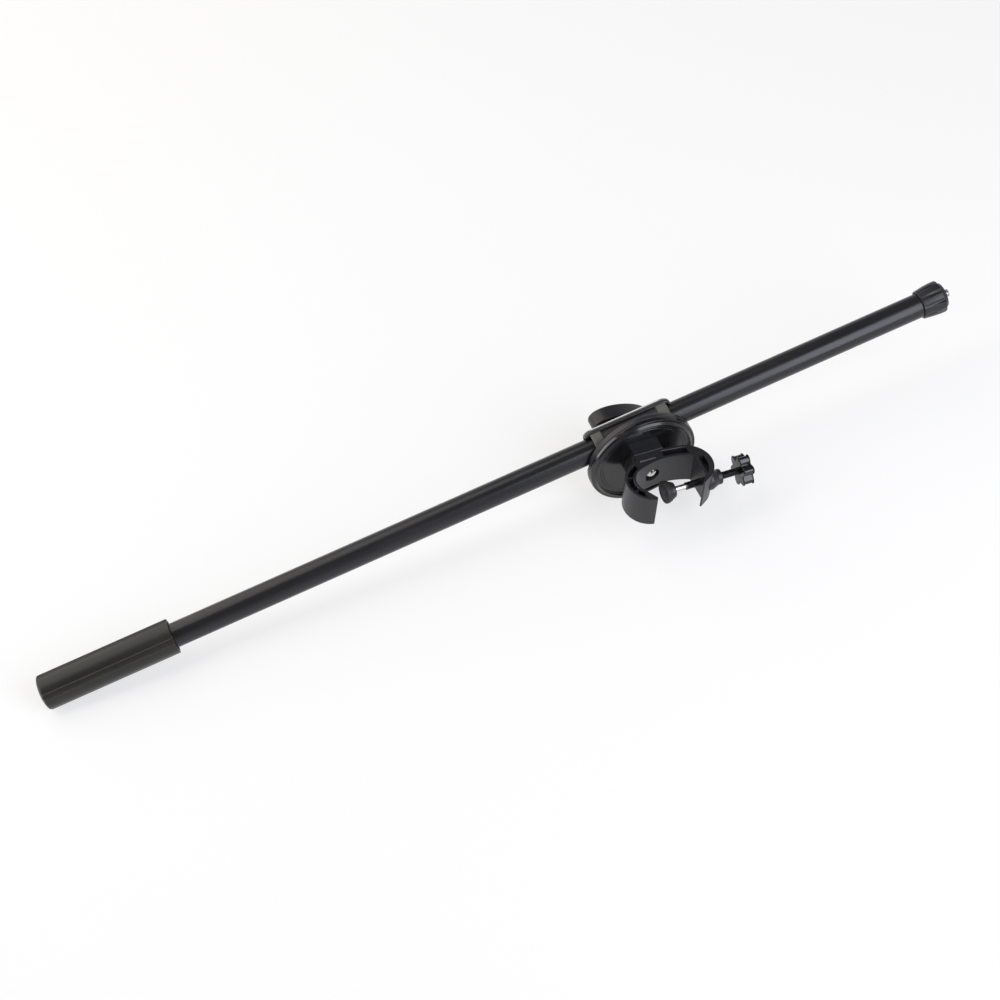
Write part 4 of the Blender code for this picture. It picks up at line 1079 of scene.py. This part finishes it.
# Clamp outline seen from above, in X and Y from the bolt's axis and the clamp's back face
HOOK_CENTRE = (-8.8, -24.6)
HOOK_OUTER_R = 19.8
HOOK_BORE_CENTRE = (-8.5, -24.6)
HOOK_INNER_R = 11.8
HOOK_TIP_ANGLE = math.radians(259.5)
HOOK_BACK_ANGLE = math.radians(101.0)
HOOK_BORE_START = math.radians(116.5)
HOOK_BORE_END = math.radians(221.0)
HOOK_TIP_INNER = (-11.5, -42.1)
SHOULDER_CENTRE = (20.6, -21.4)
SHOULDER_HALF = (22.0, 20.0)
SHOULDER_END = math.radians(-52.0)
ARM_INNER = 31.2
ARM_TIP = (27.8, -41.0)
ARM_TIP_BEVEL = 0.9
ARM_TAPER_START = -33.7
BACK_WALL_RIGHT = -14.0
BACK_WALL_R = 57.6
CLAMP_EDGE = 0.35
POCKET_DEPTH = 6.5
POCKET_EDGE = 0.3
POCKET_RIB = math.radians(3.0)
HOOK_POCKETS = (math.radians(112.0), math.radians(155.0), math.radians(202.0))
TIP_POCKET_END = math.radians(236.0)
TIP_POCKET_INNER_END = math.radians(222.0)
BACK_POCKET = (9.2, 28.5)
ARM_POCKET = (-16.8, -32.8)
BOSS_R = 6.0
BOSS_ROOT_R = 8.2
BOSS_STRAIGHT = 3.3
BOSS_CONE = 5.0
BOSS_MOUTH_BEVEL = 0.3
HEAD_HOLE_R = 6.0
SCREW_HOLE_R = 3.3


def shoulder_point(angle, inset=0.0):
    """Point of the clamp's rounded shoulder, or of the same curve moved inwards."""
    return Vector((SHOULDER_CENTRE[0] + (SHOULDER_HALF[0] - inset) * math.cos(angle),
                   SHOULDER_CENTRE[1] + (SHOULDER_HALF[1] - inset) * math.sin(angle)))


def back_wall(left_x, right_x, inset, steps):
    """Inner back wall of the jaw from right to left, moved into the wall by inset."""
    start = Vector(HOOK_BORE_CENTRE)
    start += HOOK_INNER_R * Vector((math.cos(HOOK_BORE_START), math.sin(HOOK_BORE_START)))
    end = Vector((ARM_INNER, BACK_WALL_RIGHT))
    chord = end - start
    sink = math.sqrt(BACK_WALL_R ** 2 - chord.length_squared / 4)
    centre = (start + end) / 2 + Vector((chord.y, -chord.x)).normalized() * sink
    radius = BACK_WALL_R + inset
    return arc(centre, radius, math.acos((right_x - centre.x) / radius),
               math.acos((left_x - centre.x) / radius), steps)


def clamp_outline(chamfer):
    """Outline of the clamp, from the hook's tip round the outside and back along the jaw."""
    angles = [math.pi / 2 + (SHOULDER_END - math.pi / 2) * step / 36 for step in range(37)]
    bore = arc(HOOK_BORE_CENTRE, HOOK_INNER_R, HOOK_BORE_START, HOOK_BORE_END, 28)
    return [
        *arc(HOOK_CENTRE, HOOK_OUTER_R, HOOK_TIP_ANGLE, HOOK_BACK_ANGLE, 44),
        (-BLOCK_HALF_WIDTH, -chamfer),
        (-BLOCK_HALF_WIDTH + chamfer, 0.0),
        (BLOCK_HALF_WIDTH, 0.0),
        *[shoulder_point(angle) for angle in angles],
        ARM_TIP,
        (ARM_TIP[0] - ARM_TIP_BEVEL, ARM_TIP[1] + ARM_TIP_BEVEL),
        (ARM_INNER, ARM_TAPER_START),
        (ARM_INNER, BACK_WALL_RIGHT),
        *back_wall(bore[0][0], ARM_INNER, 0.0, 24)[1:-1],
        *bore,
        HOOK_TIP_INNER,
    ]


def hook_pocket(start, end, inner_end):
    """Outline of a pocket in the hook, as a function of the wall left round it."""
    def outline(wall):
        outer = arc(HOOK_CENTRE, HOOK_OUTER_R - wall, start, end, 16)
        inner = arc(HOOK_BORE_CENTRE, HOOK_INNER_R + wall, inner_end, start, 16)
        return outer + inner
    return outline


def back_pocket(wall):
    """Outline of the pocket behind the jaw's back wall."""
    left, right = BACK_POCKET
    last = math.acos((right - SHOULDER_CENTRE[0]) / (SHOULDER_HALF[0] - wall))
    angles = [math.pi / 2 + (last - math.pi / 2) * step / 10 for step in range(11)]
    outer = [Vector((left, -wall)), *[shoulder_point(angle, wall) for angle in angles]]
    return outer + back_wall(left, right, wall, 14)


def arm_pocket(wall):
    """Outline of the pocket in the clamp's right arm."""
    back, front = ARM_POCKET
    inner = ARM_INNER + wall
    sides = []
    for step in range(9):
        y = back + (front - back) * step / 8
        angle = math.asin((y - SHOULDER_CENTRE[1]) / (SHOULDER_HALF[1] - wall))
        sides.append(Vector((shoulder_point(angle, 2 * wall).x, y)))
    return [Vector((inner, back)), *sides, Vector((inner, front))]


def pocket_tool(outline, wall, floor, rim, beyond):
    """Cutter for a pocket from its floor to beyond its rim, which it opens with a chamfer."""
    near = rim - math.copysign(POCKET_EDGE, rim)
    levels = ((wall, floor), (wall, near), (wall - abs(beyond - near), beyond))
    return lofted([[Vector((x, y, height)) for x, y in outline(left)] for left, height in levels])


class ARM_OT_clamp(bpy.types.Operator):
    """Make the moulded clamp with its hook, pockets and boss"""

    bl_idname = "arm.clamp"
    bl_label = "C clamp"

    def execute(self, context):
        low, high = span("c_clamp_body", CLAMP)
        wall = mm(context.scene.arm_sizes.clamp_wall)
        clamp = prism(clamp_outline(wall / 3), low.z, high.z)
        rims = [edge for edge in clamp.edges if abs(edge.verts[0].co.z - edge.verts[1].co.z) < 0.001]
        bmesh.ops.bevel(clamp, geom=rims, offset=CLAMP_EDGE, offset_type="OFFSET", segments=2,
                        profile=0.5, affect="EDGES", material=-1, clamp_overlap=True)
        insert_low, insert_high = span("jaw_insert", JAW)
        screw = (0.0, (CLAMP.inverted() @ JAW.translation).y / MM, 0.0)
        end = insert_high.x
        cone = end - BOSS_STRAIGHT
        root = ARM_INNER + 2 * wall
        boss = turned(rounded([
            (0.0, end, 0.0),
            (BOSS_R, end, 0.5),
            (BOSS_R, cone, 2.0),
            (BOSS_ROOT_R, cone - BOSS_CONE, 2.0),
            (BOSS_ROOT_R, root, 0.0),
            (0.0, root, 0.0),
        ]), MIDDLE)
        shape = carve(clamp, "UNION", laid(boss, ALONG, screw))
        first, middle, last = HOOK_POCKETS
        outlines = (
            hook_pocket(first, middle, middle),
            hook_pocket(middle + POCKET_RIB, last, last),
            hook_pocket(last + POCKET_RIB, TIP_POCKET_END, TIP_POCKET_INNER_END),
            back_pocket,
            arm_pocket,
        )
        tools = []
        for outline in outlines:
            tools.append(pocket_tool(outline, wall, high.z - POCKET_DEPTH, high.z, high.z + 0.2))
            tools.append(pocket_tool(outline, wall, low.z + POCKET_DEPTH, low.z, low.z - 0.2))
        strip_low, strip_high = span("bolt_plate", CLAMP)
        fit = Vector((FIT, FIT, FIT))
        tools.append(box(strip_low - fit, (strip_high.x + FIT, strip_high.y + FIT, high.z + 1.0)))
        tools.append(laid(rod(BOLT_HOLE_R, -1.0, -strip_low.y), TO_FRONT))
        tools.append(laid(rod(HEAD_HOLE_R, -strip_low.y, -2 * low.y, MIDDLE), TO_FRONT))
        socket_r = insert_high.z + FIT
        floor = insert_low.x - FIT
        socket = turned(rounded([
            (0.0, end + 1.0, 0.0),
            (socket_r + BOSS_MOUTH_BEVEL + 1.0, end + 1.0, 0.0),
            (socket_r, end - BOSS_MOUTH_BEVEL, 0.0),
            (socket_r, floor, 0.0),
            (0.0, floor, 0.0),
        ]), SMALL)
        tools.append(laid(socket, ALONG, screw))
        tools.append(laid(rod(SCREW_HOLE_R, ARM_INNER - wall, insert_low.x), ALONG, screw))
        shape = carve(shape, "DIFFERENCE", *tools)
        show(shape, "clamp_piece", CLAMP, "base", "moulding", finish("moulding"), "c_clamp_body",
             sharp=28.0)
        return {"FINISHED"}


BOLT_R = 2.9
BOLT_TIP_R = 2.5
BOLT_TIP_LENGTH = 0.4
BOLT_HEAD_HEIGHT = 2.5
BOLT_DOME_R = 7.0
BOLT_DOME_DROP = 4.5
BOLT_DOME_ARC = (math.radians(90.0), math.radians(47.0))


class ARM_OT_bolt(bpy.types.Operator):
    """Make the main bolt, the strip under its head and the washer under the lock knob"""

    bl_idname = "arm.bolt"
    bl_label = "Main bolt"

    def execute(self, context):
        low, high = span("bolt_plate", CLAMP)
        strip = soften(box(low, high), 0.2)
        hole = rod(BOLT_HOLE_R, -high.y - 1.0, -low.y + 1.0)
        strip = carve(strip, "DIFFERENCE", laid(hole, TO_FRONT))
        show(strip, "steel_strip", CLAMP, "base", "bright_steel", finish("bright"), "bolt_plate")
        low, high = span("main_bolt", STAND)
        front, tail = -low.y, -high.y
        head_r = high.x
        seat = front - BOLT_HEAD_HEIGHT
        dome = arc((0.0, seat - BOLT_DOME_DROP), BOLT_DOME_R, *BOLT_DOME_ARC, 8)
        bolt = turned(rounded([
            (0.0, front, 0.0),
            *[(min(point.x, head_r - 0.15), min(point.y, front), 0.0) for point in dome[1:]],
            (head_r, seat + 0.5, 0.3),
            (head_r, seat, 0.15),
            (BOLT_R, seat, 0.0),
            (BOLT_R, tail + BOLT_TIP_LENGTH, 0.0),
            (BOLT_TIP_R, tail, 0.0),
            (0.0, tail, 0.0),
        ]), SMALL)
        show(laid(bolt, TO_FRONT), "long_bolt", STAND, "base", "bright_steel", finish("bright"),
             "main_bolt")
        low, high = span("lock_washer", LOCK)
        shape = laid(washer(high.x, BOLT_HOLE_R, low.y, high.y, MIDDLE, 0.3), TO_BACK)
        show(shape, "knob_washer", LOCK, "lock_slider", "bright_steel", finish("bright"), "lock_washer")
        return {"FINISHED"}


# Knobs, inserts, screw and pad

KNOB_SHELL = 2.4
KNOB_HUB_R = 7.5
KNOB_EDGE = 1.2
KNOB_EDGE_STEPS = 6
KNOB_STEPS = 144


class ARM_OT_lock_knob(bpy.types.Operator):
    """Make the oval lock knob with its rounded edge and hollow front"""

    bl_idname = "arm.lock_knob"
    bl_label = "Lock knob"

    def execute(self, context):
        low, high = span("lock_knob", LOCK)
        front, back = low.y, high.y
        turns = [math.tau * index / KNOB_STEPS for index in range(KNOB_STEPS)]

        def ring(height, inset):
            wide, tall = high.x - inset, high.z - inset
            return [Vector((wide * math.cos(turn), tall * math.sin(turn), height)) for turn in turns]

        ceiling = back - KNOB_SHELL
        rings = [
            ring(ceiling, KNOB_SHELL + 1.0),
            ring(ceiling - 0.3, KNOB_SHELL + 0.3),
            ring(ceiling - 1.0, KNOB_SHELL),
            ring(front + 0.3, KNOB_SHELL),
            ring(front, KNOB_SHELL - 0.3),
            ring(front, 0.3),
            ring(front + 0.3, 0.0),
        ]
        for step in range(KNOB_EDGE_STEPS + 1):
            angle = math.pi / 2 * step / KNOB_EDGE_STEPS
            fall = KNOB_EDGE * (1 - math.sin(angle))
            rings.append(ring(back - fall, KNOB_EDGE * (1 - math.cos(angle))))
        insert = span("knob_insert", LOCK)[1]
        hub = turned(rounded([
            (0.0, back - 1.0, 0.0),
            (KNOB_HUB_R, back - 1.0, 0.0),
            (KNOB_HUB_R, front, 0.4),
            (0.0, front, 0.0),
        ]), MIDDLE)
        shape = carve(lofted(rings), "UNION", hub)
        socket = rod(insert.x + FIT, front - 1.0, insert.y + FIT)
        shape = carve(shape, "DIFFERENCE", socket)
        show(laid(shape, TO_BACK), "oval_knob", LOCK, "knob", "moulding", finish("moulding"),
             "lock_knob")
        return {"FINISHED"}


INSERT_BORE_R = 3.15


class ARM_OT_inserts(bpy.types.Operator):
    """Make the threaded brass inserts of the lock knob and the clamp's boss"""

    bl_idname = "arm.inserts"
    bl_label = "Brass inserts"

    def execute(self, context):
        low, high = span("knob_insert", LOCK)
        shape = laid(washer(high.x, INSERT_BORE_R, low.y, high.y, SMALL, 0.25), TO_BACK)
        show(shape, "knob_bush", LOCK, "knob", "brass", finish("brass"), "knob_insert")
        low, high = span("jaw_insert", JAW)
        shape = laid(washer(high.z, INSERT_BORE_R, low.x, high.x, SMALL, 0.25), ALONG)
        show(shape, "boss_bush", JAW, "base", "brass", finish("brass"), "jaw_insert")
        return {"FINISHED"}


SCREW_R = 2.9
SCREW_THREAD_DEPTH = 0.5
SCREW_RELIEF_R = 2.35
NECK_END = 18.7
NECK_R = 2.15
CLIP_GROOVE_R = 1.5


class ARM_OT_screw(bpy.types.Operator):
    """Make the jaw screw with its coarse dark thread and its turned neck"""

    bl_idname = "arm.screw"
    bl_label = "Jaw screw"

    def execute(self, context):
        low, high = span("clamp_screw", JAW)
        clip_low, clip_high = span("pad_clip", JAW)
        pitch = mm(context.scene.arm_sizes.screw_pitch)
        neck = lofted([
            circle(low.x, NECK_R - 0.2),
            circle(low.x + 0.2, NECK_R),
            circle(clip_low.x - FIT, NECK_R),
            circle(clip_low.x - FIT, CLIP_GROOVE_R),
            circle(clip_high.x + FIT, CLIP_GROOVE_R),
            circle(clip_high.x + FIT, NECK_R),
            circle(NECK_END - 0.02, NECK_R),
        ])
        shank = lofted([
            circle(NECK_END, NECK_R - 0.1),
            circle(NECK_END, SCREW_R - 0.4),
            circle(NECK_END + 0.35, SCREW_R),
            circle(NECK_END + 1.4, SCREW_R),
            circle(NECK_END + 1.6, SCREW_RELIEF_R),
            *thread(NECK_END + 1.8, high.x, SCREW_R, pitch, SCREW_THREAD_DEPTH, 0.4),
        ])
        show(shank, "jaw_screw_thread", JAW, "screw", "black_steel", finish("dark"), "clamp_screw")
        show(neck, "jaw_screw_neck", JAW, "screw", "bright_steel", finish("bright"))
        return {"FINISHED"}


HUB_FLANGE = 0.8
HUB_BORE_R = 2.45
SPIGOT_R = 4.5
PAD_FLOOR = 1.2
PAD_WAIST = 0.7
PAD_RIM = 2.2


class ARM_OT_pad(bpy.types.Operator):
    """Make the rubber pad and the hub that carries it on the screw"""

    bl_idname = "arm.pad"
    bl_label = "Pad and hub"

    def execute(self, context):
        low, high = span("pad_hub", JAW)
        face, back = [corner.x for corner in span("rubber_pad", JAW)]
        flange_r = high.z
        hub_r = flange_r - HUB_FLANGE
        seat = back + FIT
        hub = turned(rounded([
            (hub_r, high.x, 0.5),
            (hub_r, seat + 1.9, 0.3),
            (flange_r, seat + 1.7, 0.3),
            (flange_r, seat, 0.3),
            (SPIGOT_R, seat, 0.0),
            (SPIGOT_R, low.x, 0.2),
            (HUB_BORE_R, low.x, 0.2),
            (HUB_BORE_R, high.x, 0.3),
        ], closed=True, steps=3), MIDDLE, ring=True)
        show(laid(hub, ALONG), "pad_carrier", JAW, "pad", "moulding", finish("moulding"), "pad_hub")
        recess = SPIGOT_R + FIT
        radius = span("rubber_pad", JAW)[1].z
        waist = radius - PAD_WAIST
        groove = radius - PAD_RIM
        pad = turned(rounded([
            (0.0, face + PAD_FLOOR, 0.0),
            (recess, face + PAD_FLOOR, 0.2),
            (recess, back, 0.2),
            (waist, back, 0.5),
            (waist, back - 1.5, 0.4),
            (radius, back - 2.2, 0.4),
            (radius, face, 0.7),
            (groove, face, 0.3),
            (groove - 0.3, face + 0.3, 0.2),
            (groove - 0.8, face + 0.3, 0.2),
            (groove - 1.1, face, 0.2),
            (0.0, face, 0.0),
        ], steps=3), MIDDLE)
        show(laid(pad, ALONG), "pad_piece", JAW, "pad", "rubber", finish("rubber"), "rubber_pad")
        return {"FINISHED"}


STAR_REACH_R = 12.8
STAR_VALLEY_R = 8.8
STAR_TURN = math.radians(-12.0)
STAR_LOBE_POWER = 0.7
STAR_LOBE_STEPS = 32
STAR_EDGE = 0.8
STAR_EDGE_STEPS = 5
STAR_DISH = 0.5
STAR_HOLE_R = 3.2


class ARM_OT_star_knob(bpy.types.Operator):
    """Make the glossy star knob of the jaw screw"""

    bl_idname = "arm.star_knob"
    bl_label = "Star knob"

    def execute(self, context):
        lobes = context.scene.arm_sizes.star_lobes
        low, high = span("screw_knob", JAW)
        count = lobes * STAR_LOBE_STEPS

        def ring(x, inset, share=1.0):
            """Ring of lobes at a place along the screw, moved inwards and then shrunk to a share."""
            points = []
            for index in range(count):
                turn = math.tau * index / count
                lobe = (0.5 + 0.5 * math.cos(lobes * turn)) ** STAR_LOBE_POWER
                radius = (STAR_VALLEY_R + (STAR_REACH_R - STAR_VALLEY_R) * lobe - inset) * share
                angle = turn + STAR_TURN
                points.append(Vector((x, radius * math.sin(angle), -radius * math.cos(angle))))
            return points

        angles = [math.pi / 2 * step / STAR_EDGE_STEPS for step in range(STAR_EDGE_STEPS + 1)]
        edge = [(STAR_EDGE * (1 - math.sin(a)), STAR_EDGE * (1 - math.cos(a))) for a in angles]
        rings = [ring(low.x, STAR_EDGE, 0.3), ring(low.x, STAR_EDGE + 0.6)]
        rings += [ring(low.x + fall, inset) for fall, inset in edge]
        rings += [ring(high.x - fall, inset) for inset, fall in edge]
        rings += [
            ring(high.x, STAR_EDGE + 1.0),
            ring(high.x - STAR_DISH, STAR_EDGE + 1.6),
            ring(high.x - STAR_DISH, 1.5, 0.2),
        ]
        hole = laid(rod(STAR_HOLE_R, low.x - 1.0, span("clamp_screw", JAW)[1].x + FIT), ALONG)
        show(carve(lofted(rings), "DIFFERENCE", hole), "star_knob_piece", JAW, "screw", "knob",
             finish("knob"), "screw_knob")
        return {"FINISHED"}


class ARM_OT_inner_pieces(bpy.types.Operator):
    """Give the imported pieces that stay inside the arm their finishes"""

    bl_idname = "arm.inner_pieces"
    bl_label = "Inner pieces"

    def execute(self, context):
        inner = {
            "tube_plug": "moulding",
            "end_bush": "moulding",
            "stud_washer": "bright",
            "stud_locknut": "dark",
            "friction_ring": "fibre",
            "pad_clip": "bright",
        }
        for name, kind in inner.items():
            piece = frame["nodes"][name]
            piece.data.materials.clear()
            piece.data.materials.append(finish(kind))
        return {"FINISHED"}


# Studio

LOOK_TURN = math.radians(15.25)
LOOK_DOWN = math.radians(53.63)
LOOK_ROLL = math.radians(-8.44)
CAMERA_FROM_CLUTCH = Vector((-0.3580, -0.9057, 1.2675))
SENSOR_WIDTH = 36.0
FLOOR_HALF = 6.0
FLOOR_DROP = 0.0002
FILL_HEIGHT = 2.0
FILL_SIDE = 2.2
# Height in the room, as the share of its radius, between which it darkens from horizon to zenith
DARKENS_FROM = 0.25
DARKENS_TO = 0.62
WHITE = (1.0, 1.0, 1.0, 1.0)


def softbox(name, direction, distance, width, height, radiance, code, glossy=True):
    """Rectangular light that looks at the arm and has a given radiance."""
    data = bpy.data.lights.new(name, "AREA")
    data.shape = "RECTANGLE"
    data.size = width
    data.size_y = height
    data.energy = radiance * math.pi * width * height
    data.color = linear(code)[:3]
    light = bpy.data.objects.new(name, data)
    bpy.context.scene.collection.objects.link(light)
    away = Vector(direction).normalized()
    light.location = CLUTCH + away * distance
    light.rotation_mode = "QUATERNION"
    light.rotation_quaternion = away.to_track_quat("Z", "Y")
    light.visible_camera = False
    light.visible_glossy = glossy


class ARM_OT_studio(bpy.types.Operator):
    """Make the floor, the soft lights, the room and the camera"""

    bl_idname = "arm.studio"
    bl_label = "Studio"

    def execute(self, context):
        studio = context.scene.arm_studio
        self.make_floor(studio)
        self.make_room(studio)
        softbox("front_softbox", (0.40, -0.70, 0.59), 1.6, 1.0, 1.5, studio.front_light, "#f0f3ff")
        softbox("back_softbox", (-0.50, 0.62, 0.75), 1.7, 1.5, 2.2, studio.back_light, "#fff9f0")
        softbox("left_softbox", (-0.90, 0.09, 0.36), 1.6, 0.35, 1.8, studio.left_light, "#ffffff")
        fill = studio.fill_light * math.pi * FILL_HEIGHT ** 2 / FILL_SIDE ** 2
        softbox("overhead_fill", (0.0, 0.0, 1.0), FILL_HEIGHT, FILL_SIDE, FILL_SIDE, fill, "#ffffff",
                glossy=False)
        self.make_camera(studio)
        context.scene.view_settings.view_transform = "Standard"
        return {"FINISHED"}

    def make_floor(self, studio):
        """White paper floor, whose own light and shade show only by the share set for the shadow."""
        bm = bmesh.new()
        bmesh.ops.create_grid(bm, x_segments=1, y_segments=1, size=FLOOR_HALF)
        mesh = bpy.data.meshes.new("floor")
        bm.to_mesh(mesh)
        bm.free()
        floor = bpy.data.objects.new("floor", mesh)
        floor.location.z = -FLOOR_DROP
        bpy.context.scene.collection.objects.link(floor)
        material = bpy.data.materials.new("white_paper_sweep")
        material.use_nodes = True
        tree = material.node_tree
        tree.nodes.clear()
        paper = node(tree, "ShaderNodeBsdfDiffuse", {"Color": tuple(studio.floor)})
        white = node(tree, "ShaderNodeEmission", {"Color": WHITE, "Strength": 1.0})
        path = node(tree, "ShaderNodeLightPath")
        seen = path.outputs["Is Camera Ray"]
        for mirrored in ("Is Glossy Ray", "Is Transmission Ray"):
            either = node(tree, "ShaderNodeMath", {0: seen, 1: path.outputs[mirrored]},
                          operation="MAXIMUM")
            seen = either.outputs["Value"]
        share = node(tree, "ShaderNodeMath", {0: seen, 1: 1.0 - studio.shadow}, operation="MULTIPLY")
        mixed = node(tree, "ShaderNodeMixShader", {
            0: share.outputs["Value"], 1: paper.outputs["BSDF"], 2: white.outputs["Emission"]})
        node(tree, "ShaderNodeOutputMaterial", {"Surface": mixed.outputs["Shader"]})
        mesh.materials.append(material)

    def make_room(self, studio):
        """Room that is bright near the horizon and dark overhead."""
        world = bpy.data.worlds.new("room")
        bpy.context.scene.world = world
        world.use_nodes = True
        tree = world.node_tree
        tree.nodes.clear()
        coordinates = node(tree, "ShaderNodeTexCoord")
        height = node(tree, "ShaderNodeSeparateXYZ", {"Vector": coordinates.outputs["Generated"]})
        rise = node(tree, "ShaderNodeMapRange", {
            "Value": height.outputs["Z"], "From Min": DARKENS_FROM, "From Max": DARKENS_TO,
            "To Min": studio.horizon, "To Max": studio.zenith}, interpolation_type="SMOOTHSTEP")
        sky = node(tree, "ShaderNodeBackground", {"Color": WHITE, "Strength": rise.outputs["Result"]})
        node(tree, "ShaderNodeOutputWorld", {"Surface": sky.outputs["Background"]})

    def make_camera(self, studio):
        """Camera at the photograph's angle."""
        data = bpy.data.cameras.new("camera")
        data.lens = studio.lens
        data.sensor_width = SENSOR_WIDTH
        data.clip_end = 20.0
        camera = bpy.data.objects.new("camera", data)
        bpy.context.scene.collection.objects.link(camera)
        turn = Matrix.Rotation(-LOOK_TURN, 4, "Z")
        tilt = Matrix.Rotation(math.pi / 2 - LOOK_DOWN, 4, "X")
        roll = Matrix.Rotation(LOOK_ROLL, 4, "Z")
        camera.matrix_world = Matrix.Translation(CLUTCH + CAMERA_FROM_CLUTCH) @ turn @ tilt @ roll
        bpy.context.scene.camera = camera


STEPS = (
    ARM_OT_tube, ARM_OT_grip, ARM_OT_collar, ARM_OT_stud, ARM_OT_saddle, ARM_OT_shoe, ARM_OT_liner,
    ARM_OT_front_disc, ARM_OT_clamp, ARM_OT_bolt, ARM_OT_lock_knob, ARM_OT_inserts, ARM_OT_screw,
    ARM_OT_pad, ARM_OT_star_knob, ARM_OT_inner_pieces, ARM_OT_studio,
)


class ARM_PT_panel(bpy.types.Panel):
    """Steps and settings of the crossbar arm"""

    bl_idname = "ARM_PT_panel"
    bl_label = "Crossbar arm"
    bl_space_type = "VIEW_3D"
    bl_region_type = "UI"
    bl_category = "Crossbar arm"

    def draw(self, context):
        for step in STEPS:
            self.layout.operator(step.bl_idname)
        for group in (context.scene.arm_sizes, context.scene.arm_colours, context.scene.arm_studio):
            for name in group.__annotations__:
                self.layout.prop(group, name)


CLASSES = (ArmSizes, ArmColours, ArmStudio, *STEPS, ARM_PT_panel)


def register():
    for item in CLASSES:
        bpy.utils.register_class(item)
    bpy.types.Scene.arm_sizes = PointerProperty(type=ArmSizes)
    bpy.types.Scene.arm_colours = PointerProperty(type=ArmColours)
    bpy.types.Scene.arm_studio = PointerProperty(type=ArmStudio)


def unregister():
    del bpy.types.Scene.arm_sizes
    del bpy.types.Scene.arm_colours
    del bpy.types.Scene.arm_studio
    for item in reversed(CLASSES):
        bpy.utils.unregister_class(item)


def main():
    register()
    for step in STEPS:
        category, name = step.bl_idname.split(".")
        getattr(getattr(bpy.ops, category), name)()


if __name__ == "__main__":
    main()
